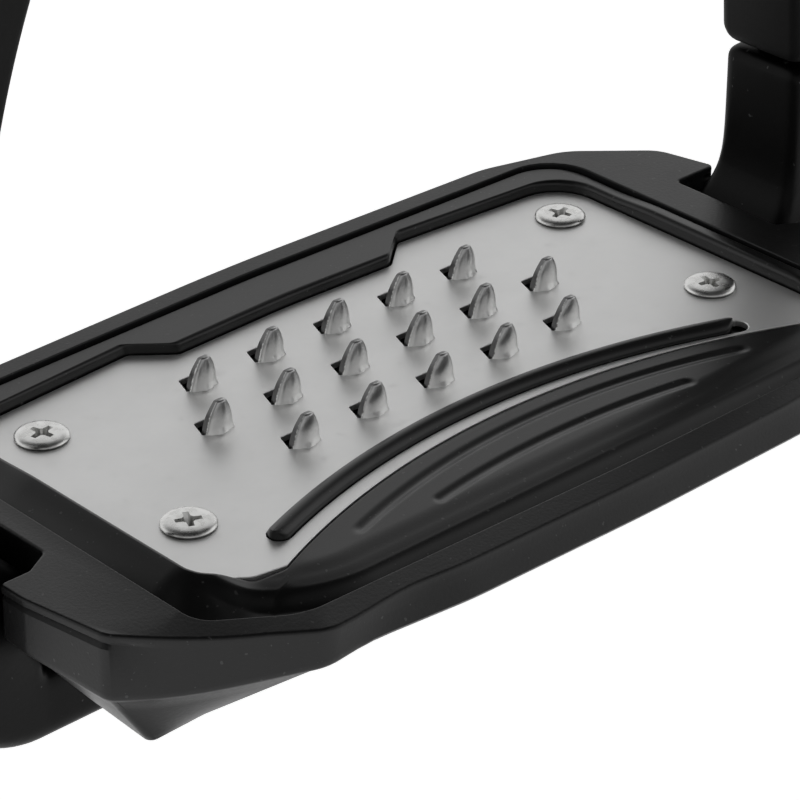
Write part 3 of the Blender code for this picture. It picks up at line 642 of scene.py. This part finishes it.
def hole_line(x, y):
    """The lanced hole behind one tooth, in mm: wide at the bend, narrow at the back."""
    corners = [(x - TOOTH_BASE / 2 - 0.45, y + 0.1, 0.1), (x + TOOTH_BASE / 2 - 0.25, y - 0.2, 0.1),
               (x + HOLE_BACK / 2, y + HOLE_DEPTH, 0.25), (x - HOLE_BACK / 2, y + HOLE_DEPTH, 0.25)]
    return [p / MM for p in outline(corners, 3)]


def circle(radius, around, z=0.0):
    turns = [math.tau * i / around for i in range(around)]
    return [Vector((radius * math.cos(turn), radius * math.sin(turn), z)) for turn in turns]


def evaluated(holder):
    """An object's shape after its modifiers, as a plain mesh; the object is removed."""
    bpy.context.view_layer.update()
    mesh = bpy.data.meshes.new_from_object(holder.evaluated_get(bpy.context.evaluated_depsgraph_get()))
    holder.modifiers.clear()
    bpy.data.objects.remove(holder)
    return mesh


def plate_mesh():
    curve = bpy.data.curves.new("grip_plate_outline", "CURVE")
    curve.dimensions = "2D"
    curve.fill_mode = "BOTH"
    edge = 0.1
    curve.extrude = SHEET / 2 * MM - edge * MM
    curve.bevel_depth = edge * MM
    curve.bevel_resolution = 2
    curve.offset = -edge * MM
    lines = [plate_line(0), slot_line(0, SLOT_LEFT, SLOT_RIGHT)]
    lines += [[point + Vector((x, y, 0)) for point in circle(SCREW_HOLE, 40)] for x, y in screw_places]
    lines += [hole_line(x, y) for x, y in tooth_places]
    for line in lines:
        spline = curve.splines.new("POLY")
        spline.points.add(len(line) - 1)
        for point, place in zip(spline.points, line):
            point.co = (place.x * MM, place.y * MM, 0, 1)
        spline.use_cyclic_u = True
    mesh = evaluated(placed("grip_plate_outline", curve))
    mesh.transform(Matrix.Translation((0, 0, plate_top - SHEET / 2 * MM)))
    shape = bmesh.new()
    shape.from_mesh(mesh)
    bmesh.ops.remove_doubles(shape, verts=shape.verts, dist=1e-6)
    return finished_mesh("grip_plate_skin", shape, 12)


def brushed_steel():
    material, here = new_finish("brushed_steel", Metallic=1.0)
    stretched = here.make("ShaderNodeMapping", {}, {"Vector": here, "Scale": (0.06, 1.0, 1.0)})
    brushing = stretched.noise(9000, 3, 0.6)
    clouds = here.noise(70, 4, 0.6)
    marks = here.noise(420, 5, 0.7).between(0.55, 0.8)
    tone = clouds.between(0.3, 0.7).blend((0.74, 0.74, 0.735), (0.80, 0.80, 0.795))
    return dressed(material, here, tone, 0.40 + 0.06 * brushing + 0.05 * clouds + 0.10 * marks,
                   brushing * 0.6 + here.noise(4200, 2) * 0.4, 0.12, 0.00002)


STEEL = brushed_steel()
show("grip_plate_sheet", plate_mesh(), STEEL, "tread", "plate_steel", "grip_plate")


# ---------------------------------------------------------------- teeth
# Each tooth is a tab lanced out of the same sheet and bent up over a die: a hollow half cone, open at
# the back over its hole, with a rounded lip and a soft swelling where it leaves the sheet.

def tooth_mesh():
    """One tooth in mm round its own place, z from the top of the sheet: a bulged tab with sheared sides."""
    tiers, front_steps, back_steps = 16, 14, 6
    rings = []
    for tier in range(tiers + 1):
        t = tier / tiers
        rise = TOOTH_HEIGHT * math.sin(t * math.pi / 2)
        share = rise / TOOTH_HEIGHT
        half = TOOTH_BASE / 2 * (1 - 0.68 * share ** 2.1) * (1 - 0.75 * max(0.0, (t - 0.80) / 0.20) ** 3)
        bulge = 0.62 * half * (0.75 + 0.25 * share)
        foot = 0.36 * max(0.0, 1 - rise / 0.7) ** 2    # the torn swelling at the bend
        lean = -0.45 * share ** 1.3
        back = SHEET * (1 - 0.35 * share)
        ring = []
        for step in range(front_steps + 1):
            turn = math.pi * step / front_steps
            ragged = foot * (0.75 + 0.35 * math.sin(5 * turn + 0.8) + 0.2 * math.sin(11 * turn))
            side = -(half + 0.5 * ragged) * math.cos(turn)
            ring.append((side, lean - (bulge + ragged) * math.sin(turn), rise))
        for step in range(back_steps + 1):
            across = 1 - 2 * step / back_steps
            hollow = 0.3 * (1 - across ** 2) * (1 - share)
            ring.append((half * 0.97 * across, lean + back - hollow, rise - 0.1 * share))
        rings.append(ring)
    rings.insert(0, [(x, y, -0.5) for x, y, _ in rings[0]])
    return skin("tooth_form", [[Vector(point) * MM for point in ring] for ring in rings])


def new_tree(name, *sockets):
    """A Geometry Nodes tree with inputs given as (name, kind); returns it and its inputs as wires."""
    tree = bpy.data.node_groups.new(name, "GeometryNodeTree")
    names = (("Geometry", "Geometry"), *sockets, ("Finish", "Material"))
    for label, kind in names:
        tree.interface.new_socket(label, in_out="INPUT", socket_type="NodeSocket" + kind)
    tree.interface.new_socket("Geometry", in_out="OUTPUT", socket_type="NodeSocketGeometry")
    group = tree.nodes.new("NodeGroupInput")
    return tree, {label: Wire(tree, group.outputs[label]) for label, kind in names}


def planted(given, form, points, **more):
    """A copy of the form on every point, made real and given its finish, as the tree's result."""
    source = points.make("GeometryNodeObjectInfo", {}, {"Object": given[form]}, "Geometry")
    copies = points.make("GeometryNodeInstanceOnPoints", {}, {"Points": points, "Instance": source, **more})
    real = points.make("GeometryNodeRealizeInstances", {}, {0: copies})
    paint = points.make("GeometryNodeSetMaterial", {}, {"Geometry": real, "Material": given["Finish"]})
    paint.plug(paint, points.tree.nodes.new("NodeGroupOutput").inputs[0])


def teeth_tree():
    """Geometry Nodes: rows of teeth on a staggered pitch, from an object that holds one tooth."""
    tree, given = new_tree("staggered_teeth", ("Tooth", "Object"), ("Pitch", "Float"), ("Row pitch", "Float"),
                           ("Middle", "Vector"))
    pitch, middle = given["Pitch"], given["Middle"]
    rows = pitch.make("GeometryNodeJoinGeometry")
    for row, count in TOOTH_ROWS:
        corner = pitch.make("ShaderNodeCombineXYZ", {}, {"X": pitch * (-(count - 1) / 2),
                                                         "Y": given["Row pitch"] * row})
        start = pitch.make("ShaderNodeVectorMath", {"operation": "ADD"}, {0: corner, 1: middle})
        step = pitch.make("ShaderNodeCombineXYZ", {}, {"X": pitch})
        line = pitch.make("GeometryNodeMeshLine", {"mode": "OFFSET"},
                          {"Count": count, "Start Location": start, "Offset": step})
        rows.plug(line, rows.socket.node.inputs[0])
    planted(given, "Tooth", rows)
    return tree


def grown(name, tree, form, **inputs):
    """Run a tree on an empty mesh with a form and other inputs, and keep its result as a plain mesh."""
    keys = {item.name: item.identifier for item in tree.interface.items_tree if item.in_out == "INPUT"}
    source = placed(f"{name}_form", form)
    host = placed(name, bpy.data.meshes.new(name))
    modifier = host.modifiers.new("Nodes", "NODES")
    modifier.node_group = tree
    for key, value in inputs.items():
        modifier[keys[key.replace("_", " ")]] = source if value == "form" else value
    mesh = evaluated(host)
    bpy.data.objects.remove(source)
    return mesh


def sheared_steel():
    """The plate's steel with a painted reflection, bright near the sheet and darker towards the tips, and
    grey where the tab's sides were sheared.
    """
    material, here = new_finish("sheared_steel", Metallic=1.0)
    height = here.part(2) - plate_top
    behind = (here.part(1) - (TOOTH_Y - ROW_PITCH / 2) * MM) % (ROW_PITCH * MM) - ROW_PITCH / 2 * MM
    marks = here.noise(2600, 3, 0.6)
    wander = (marks - 0.5) * (0.5 * MM)
    # painted reflection: the tooth's colour goes from bright at the sheet to dark at its tip
    body = (height + wander * 2).between(1.0 * MM, 3.6 * MM).blend((0.95, 0.95, 0.94), (0.42, 0.42, 0.42))
    sheared = (behind + height * 0.11 + wander).between(-0.12 * MM, 0.06 * MM)
    return dressed(material, here, sheared.blend(body, (0.12, 0.12, 0.12)), 0.24 + 0.12 * marks,
                   marks, 0.3, 0.00004)


TOOTH_STEEL = sheared_steel()
teeth = grown("grip_teeth", teeth_tree(), tooth_mesh(), Tooth="form", Pitch=TOOTH_PITCH * MM,
              Row_pitch=ROW_PITCH * MM, Middle=(TOOTH_X * MM, TOOTH_Y * MM, plate_top), Finish=TOOTH_STEEL)
teeth.set_sharp_from_angle(angle=math.radians(42))
show("grip_teeth", teeth, TOOTH_STEEL, "tread", "plate_steel")


# ---------------------------------------------------------------- plate screws
# Four thin cross-recess screws of bright zinc-plated steel hold the plate and the pad down on
# threaded bronze inserts in the shell.

HEAD_LIFT = 0.12                 # mm that the head stands off the plate
RECESS_WING, RECESS_TIP, RECESS_CORNER = 1.62, 0.36, 0.42


def modified(name, mesh, *steps):
    """A mesh after modifiers, each given as (type, {setting: value})."""
    holder = placed(name, mesh)
    tools = []
    for kind, settings in steps:
        modifier = holder.modifiers.new(kind.title(), kind)
        for key, value in settings.items():
            if isinstance(value, bpy.types.Mesh):
                value = placed(f"{name}_tool", value)
                tools.append(value)
            setattr(modifier, key, value)
    result = evaluated(holder)
    for tool in tools:
        bpy.data.objects.remove(tool)
    return result


def combined(operation, tool, **more):
    """The step that adds a tool's shape, or takes it away."""
    return "BOOLEAN", {"operation": operation, "solver": "EXACT", "object": tool, **more}


def plate_screw_mesh():
    """Head and shank in mm round its own place, z from the top of the plate: a turned body cut by a cross."""
    profile = [(0.9, 0.56), (1.7, 0.555), (2.3, 0.53), (2.65, 0.48), (2.88, 0.39), (3.02, 0.27), (3.1, 0.14),
               (3.08, 0.04), (3.0, 0.0), (1.5, 0.0), (1.5, -8.2), (1.2, -8.6)]
    rings = [[point * MM for point in circle(radius, 64, z + HEAD_LIFT)] for radius, z in profile]
    cross = []
    for quarter in range(4):
        spin = Matrix.Rotation(math.radians(90 * quarter), 2)
        reach = RECESS_CORNER + 0.28
        cross += [spin @ Vector(corner) for corner in ((RECESS_WING, -RECESS_TIP), (RECESS_WING, RECESS_TIP),
                                                       (reach, RECESS_CORNER), (RECESS_CORNER, reach))]
    recess = [[Vector((p.x * share, p.y * share, depth + HEAD_LIFT)) * MM for p in cross]
              for depth, share in ((1.4, 1.0), (0.5, 0.9), (-0.15, 0.6), (-1.1, 0.2))]
    mesh = modified("screw_body", skin("screw_body", rings),
                    combined("DIFFERENCE", skin("screw_recess", recess)))
    mesh.shade_smooth()
    mesh.set_sharp_from_angle(angle=math.radians(32))
    return mesh


def screws_tree():
    """Geometry Nodes: one screw at each corner of a rectangle, each turned by its own angle."""
    tree, given = new_tree("corner_screws", ("Screw", "Object"), ("Size X", "Float"), ("Size Y", "Float"),
                           ("Middle", "Vector"), ("Seed", "Int"))
    middle = given["Middle"]
    grid = middle.make("GeometryNodeMeshGrid", {}, {"Vertices X": 2, "Vertices Y": 2,
                                                    "Size X": given["Size X"], "Size Y": given["Size Y"]})
    corners = middle.make("GeometryNodeTransform", {}, {"Geometry": grid, "Translation": middle})
    turn = middle.make("FunctionNodeRandomValue", {"data_type": "FLOAT"},
                       {"Max": math.tau / 4, "Seed": given["Seed"]}, "Value")
    planted(given, "Screw", corners, Rotation=middle.make("ShaderNodeCombineXYZ", {}, {"Z": turn}))
    return tree


def bright_zinc():
    material, here = new_finish("bright_zinc", Metallic=1.0)
    smudges = here.noise(900, 3)
    tone = smudges.between(0.35, 0.65).blend((0.55, 0.55, 0.54), (0.70, 0.70, 0.69))
    return dressed(material, here, tone, 0.20 + 0.16 * smudges, here.noise(5200, 2, 0.6), 0.25, 0.00003)


ZINC = bright_zinc()
plate_screws = grown("plate_screws", screws_tree(), plate_screw_mesh(), Screw="form",
                     Size_X=2 * SCREW_X * MM, Size_Y=2 * SCREW_Y * MM,
                     Middle=(SCREW_SHIFT_X * MM, SCREW_SHIFT_Y * MM, plate_top), Seed=4, Finish=ZINC)
plate_screws.set_sharp_from_angle(angle=math.radians(32))
show("plate_screws", plate_screws, ZINC, "tread", "screw_steel",
     "plate_screw_1", "plate_screw_2", "plate_screw_3", "plate_screw_4")


# ---------------------------------------------------------------- lower bow
# A one-piece cast and black-coated bow: a flat bar bolted under the shell, a bend at each end, and a
# branch that rises through the shell's notch on a spread foot. Its tongue runs up into the sleeve.

PIVOT_HEIGHT = 27.5              # mm above the grip plate
BRANCH_X, BRANCH_HALF, BRANCH_HALF_Y = 65.6, 5.0, 6.0
BAR_HALF, BAR_HALF_Y, BEND_RADIUS = 4.4, 8.2, 10.0
BAR_Z = KEEL_BOTTOM - 0.25 - BAR_HALF
BRANCH_TOP, BRANCH_CORNER = 19.1, 1.3
TONGUE_HALF, TONGUE_NOSE = 1.8, 3.9
BOLT_X = 27
pivot_x = (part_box("right_pivot_bush")[0].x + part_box("right_pivot_bush")[1].x) / 2 / MM


def bow_ring(centre, outward, inner, outer, half_y, radius, steps=6, rear=None):
    """A round-cornered section across a bow in mm; inner and outer are its reaches along outward."""
    rear = half_y if rear is None else rear
    corners = [(-inner, -half_y, radius), (outer, -half_y, radius), (outer, rear, radius),
               (-inner, rear, radius)]
    return [(centre + outward * (p.x / MM) + Vector((0, p.y / MM, plate_top / MM))) * MM
            for p in outline(corners, steps)]


def between_stations(stations, spacing):
    """Rows filled in between the given ones, on a Catmull-Rom curve through each column."""
    filled = []
    for i in range(len(stations) - 1):
        a = stations[max(i - 1, 0)]
        b, c = stations[i], stations[i + 1]
        d = stations[min(i + 2, len(stations) - 1)]
        count = max(1, round(abs(c[0] - b[0]) / spacing))
        for step in range(count):
            t = step / count
            filled.append([0.5 * (2 * q + (r - p) * t + (2 * p - 5 * q + 4 * r - u) * t * t
                                  + (3 * q - p - 3 * r + u) * t ** 3)
                           for p, q, r, u in zip(a, b, c, d)])
    filled.append(list(stations[-1]))
    return filled


def drum(radius, start, stop, axis="Z", around=40):
    """A plain round cutter in mm along an axis through its own place."""
    spin = {"Z": Matrix.Identity(3), "X": Matrix.Rotation(math.radians(90), 3, "Y")}[axis]
    return [[spin @ point for point in circle(radius, around, z)] for z in (start, stop)]


def moved(rings, x, y, z):
    """Rings in mm carried to a place given from the plate's top, in metres."""
    return [[(point + Vector((x, y, z + plate_top / MM))) * MM for point in ring] for ring in rings]


def several(name, *ring_sets):
    """Several closed skins in one mesh."""
    shape = bmesh.new()
    for rings in ring_sets:
        shape.from_mesh(skin(name, rings))
    mesh = bpy.data.meshes.new(name)
    shape.to_mesh(mesh)
    shape.free()
    return mesh


def cast(voxel, smoothing):
    """The steps that melt joined shapes into one casting with soft inner and outer edges."""
    return [("REMESH", {"mode": "VOXEL", "voxel_size": voxel * MM, "use_smooth_shade": True}),
            ("SMOOTH", {"factor": 0.5, "iterations": smoothing})]


def lower_bow_mesh():
    # (height above the plate, inward reach, outward reach, half width) down the branch
    stations = [(18.0, 5.0, 5.0, 6.0), (13, 5.0, 5.0, 6.0), (8, 5.05, 5.0, 6.02), (5, 5.3, 5.0, 6.1),
                (3, 5.8, 5.0, 6.3), (1.2, 6.8, 5.0, 6.6), (-0.3, 8.2, 5.0, 7.1), (-1.6, 9.2, 5.0, 7.7),
                (-3.4, 9.5, 5.0, 8.6), (-6, 9.6, 5.0, 9.2)]
    right, down = Vector((1, 0, 0)), Vector((0, 0, -1))
    rings = []
    for out, fall in quarter_round(6):
        half = BRANCH_HALF - 1.2 * out
        rings.append(bow_ring(Vector((BRANCH_X, 0, BRANCH_TOP - 1.2 * fall)), right, half, half,
                              BRANCH_HALF_Y - 1.2 * out, BRANCH_CORNER))
    for height, inner, outer, half_y in between_stations(stations, 0.8)[1:]:
        rings.append(bow_ring(Vector((BRANCH_X, 0, height)), right, inner, outer, half_y, BRANCH_CORNER,
                              rear=min(half_y, 7.5)))
    centre = Vector((BRANCH_X - BEND_RADIUS, 0, BAR_Z + BEND_RADIUS))
    for step in range(1, 19):
        share = step / 18
        turn = math.radians(90 * share)
        outward = Vector((math.cos(turn), 0, -math.sin(turn)))
        # a web in the bend fills the corner between the branch and the keel above the bar
        web = BEND_RADIUS - min(0.4 / math.cos(turn), (BEND_RADIUS - BAR_HALF - 0.05) / math.sin(turn))
        rings.append(bow_ring(centre + outward * BEND_RADIUS, outward, max(BAR_HALF, web),
                              BAR_HALF + 0.6 * max(0, 1 - 2 * share), 9.2 - 1.0 * share, 1.4 + 0.6 * share,
                              rear=7.5 + 0.7 * share))
    for x in (48, 40, 32, 24, 16, 8, 0):
        rings.append(bow_ring(Vector((x, 0, BAR_Z)), down, BAR_HALF, BAR_HALF, BAR_HALF_Y, 2.0))
    for ring in rings[-2::-1]:
        rings.append([Vector((-point.x, point.y, point.z)) for point in ring])
    tongues, holes, bores = [], [], []
    for hand in (-1, 1):
        flat = [(-TONGUE_HALF, BRANCH_TOP - 2.5), (TONGUE_HALF, BRANCH_TOP - 2.5)]
        start = math.atan2(-math.sqrt(TONGUE_NOSE ** 2 - TONGUE_HALF ** 2), TONGUE_HALF)
        for step in range(37):
            turn = start + (math.pi - 2 * start) * step / 36
            flat.append((TONGUE_NOSE * math.cos(turn), PIVOT_HEIGHT + TONGUE_NOSE * math.sin(turn)))
        tongue = [[Vector((x, y, z)) for y, z in flat] for x in (-2.0, 2.0)]
        tongues.append(moved(tongue, hand * pivot_x, 0, 0))
        holes.append(moved(drum(2.5, -6, 6, "X"), hand * pivot_x, 0, PIVOT_HEIGHT))
        bores.append(moved(drum(2.3, -9, 9), hand * BOLT_X, 0, BAR_Z))
        bores.append(moved(drum(4.3, -9, 3 - BAR_HALF), hand * BOLT_X, 0, BAR_Z))
    return modified("lower_bow_skin", skin("lower_bow_skin", rings),
                    combined("UNION", several("tongues", *tongues)),
                    combined("DIFFERENCE", several("eyes", *holes)),
                    combined("DIFFERENCE", several("bores", *bores), use_self=True),
                    *cast(0.42, 3))


def black_coat():
    material, here = new_finish("black_coat", IOR=1.45, Specular_IOR_Level=0.11)
    clouds = here.noise(80, 3)
    dust = here.noise(1300, 1).between(0.74, 0.78)
    tone = clouds.between(0.3, 0.7).blend((0.0010, 0.0010, 0.0010), (0.0018, 0.0018, 0.0018))
    return dressed(material, here, (dust * 0.35).blend(tone, (0.12, 0.12, 0.12)), 0.32 + 0.12 * clouds,
                   here.noise(1500, 2), 0.2, 0.00006)


COAT = black_coat()
show("lower_bow_cast", lower_bow_mesh(), COAT, "tread", "black_coat", "lower_bow")


# ---------------------------------------------------------------- rubber sleeves
# A moulded rubber sleeve covers each side joint: snug on the arch above, with a round lower end that
# stands just clear of the branch and a mouth wide enough for the tongue to swing.

ARCH_FOOT_Z, ARCH_RISE = 15.0, 92.5
SLEEVE_BOTTOM, SLEEVE_TOP_TURN = 20.2, math.radians(31)
SLEEVE_HALF, SLEEVE_HALF_Y, SLEEVE_CORNER = 5.5, 6.5, 1.7


def arch_point(turn):
    """Middle line of the arch in mm, from the right foot over the crown to the left foot."""
    return Vector((BRANCH_X * math.cos(turn), 0, ARCH_FOOT_Z + ARCH_RISE * math.sin(turn)))


def arch_outward(turn):
    return Vector((ARCH_RISE * math.cos(turn), 0, BRANCH_X * math.sin(turn))).normalized()


def arch_turn(height):
    return math.asin((height - ARCH_FOOT_Z) / ARCH_RISE)


def sleeve_mesh(hand):
    def at(turn, half, half_y, radius):
        turned = turn if hand > 0 else math.pi - turn
        return bow_ring(arch_point(turned), arch_outward(turned), half, half, half_y, radius)

    rings = []
    end = 2.4
    for out, rise in quarter_round(8):
        take = end * out
        rings.append(at(arch_turn(SLEEVE_BOTTOM + end * rise), SLEEVE_HALF - 0.5 * take,
                        SLEEVE_HALF_Y - 0.6 * take, SLEEVE_CORNER - 0.1 * take))
    low = arch_turn(SLEEVE_BOTTOM + end)
    for step in range(1, 31):
        rings.append(at(low + (SLEEVE_TOP_TURN - low) * step / 30, SLEEVE_HALF, SLEEVE_HALF_Y, SLEEVE_CORNER))
    for out, rise in quarter_round(6)[1:]:             # soft upper lip
        take = 0.6 * rise
        rings.append(at(SLEEVE_TOP_TURN + math.radians(0.42) * (1 - out), SLEEVE_HALF - take,
                        SLEEVE_HALF_Y - take, SLEEVE_CORNER))
    # the inside: snug on the arch, then a wider mouth
    for turn, half, half_y, radius in ((SLEEVE_TOP_TURN, 4.35, 4.85, 1.8), (arch_turn(22.5), 4.35, 4.85, 1.8),
                                       (arch_turn(22.2), 3.1, 3.5, 0.9),
                                       (arch_turn(SLEEVE_BOTTOM), 3.1, 3.5, 0.9)):
        rings.append(at(turn, half, half_y, radius))
    return skin("sleeve_skin", rings, closed=True)


def sleeve_rubber():
    material, here = new_finish("sleeve_rubber", IOR=1.48, Specular_IOR_Level=0.14)
    grain = here.noise(2800, 2)
    tone = here.noise(70, 3).between(0.3, 0.7).blend((0.003, 0.003, 0.003), (0.0045, 0.0045, 0.0045))
    return dressed(material, here, tone, 0.5 + 0.12 * grain, grain, 0.2, 0.00004)


SLEEVE_RUBBER = sleeve_rubber()
for hand, word in ((-1, "left"), (1, "right")):
    show(f"{word}_joint_sleeve", sleeve_mesh(hand), SLEEVE_RUBBER, "arch", "sleeve_rubber", f"{word}_sleeve")


# ---------------------------------------------------------------- upper bow with the strap eye
# The arch over the boot, cast in one piece with the block at its crown that the strap loops through,
# with a fork at each foot for the joint's pin, in the same black coat as the lower bow.

EYE_WIDTH, EYE_HEIGHT, EYE_BAR, EYE_HALF_DEPTH = 29.0, 8.5, 7.0, 5.2


def upper_bow_mesh():
    foot = arch_turn(22.8)
    shoulder = SLEEVE_TOP_TURN - math.radians(1.2)
    full = SLEEVE_TOP_TURN + math.radians(2.2)
    rings = []
    for step in range(111):
        turn = foot + (math.pi - 2 * foot) * step / 110
        grow = smooth_step(shoulder, full, min(turn, math.pi - turn))
        half = 4.1 + 0.6 * grow
        half_y = 4.6 + (1.0 - 0.2 * math.sin(turn) ** 6) * grow
        rings.append(bow_ring(arch_point(turn), arch_outward(turn), half, half, half_y, 1.8 + 0.8 * grow))

    def upright(corners, reach, steps=8):
        flat = [p / MM for p in outline(corners, steps)]
        return [[Vector((p.x, y, p.y)) * MM for p in flat] for y in (-reach, reach)]

    low = plate_top / MM + 105
    block = upright([(-26, low, 2), (26, low, 2), (19.5, EYE_BAR, 6), (-19.5, EYE_BAR, 6)], EYE_HALF_DEPTH)
    half = EYE_WIDTH / 2
    eye = upright([(-half, -EYE_HEIGHT, 2), (half, -EYE_HEIGHT, 2), (half, 0, 2), (-half, 0, 2)], 12)
    slots, holes = [], []
    for hand in (-1, 1):
        side = [(-2.25, -9), (2.25, -9), (2.25, 9), (-2.25, 9)]
        gap = [[Vector((x, y, z)) for x, y in side] for z in (19.8, 32.1)]
        slots.append(moved(gap, hand * pivot_x, 0, 0))
        holes.append(moved(drum(1.75, -7, 7, "X"), hand * pivot_x, 0, PIVOT_HEIGHT))
    return modified("upper_bow_skin", skin("upper_bow_skin", rings),
                    combined("UNION", skin("block", block)),
                    combined("DIFFERENCE", skin("eye", eye)),
                    combined("DIFFERENCE", several("slots", *slots)),
                    combined("DIFFERENCE", several("holes", *holes)),
                    *cast(0.45, 5))


show("upper_bow_cast", upper_bow_mesh(), COAT, "arch", "black_coat", "upper_bow")


# ---------------------------------------------------------------- pins, bushes, inserts and nuts
# Plain turned parts inside the sleeves and the shell: steel pins and nuts in bright zinc, and bronze
# bushes and threaded inserts. They keep their own shapes and take the finishes here.

def turned_bronze():
    material, here = new_finish("turned_bronze", Metallic=1.0)
    clouds = here.noise(600, 3)
    tone = clouds.between(0.3, 0.7).blend((0.50, 0.33, 0.16), (0.62, 0.45, 0.24))
    return dressed(material, here, tone, 0.28 + 0.16 * clouds)


BRONZE = turned_bronze()
for node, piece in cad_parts.items():
    bronze = "insert" in node or "bush" in node
    if bronze or "pin" in node or "bow_" in node:
        for holder in piece.material_slots:
            holder.material = BRONZE if bronze else ZINC
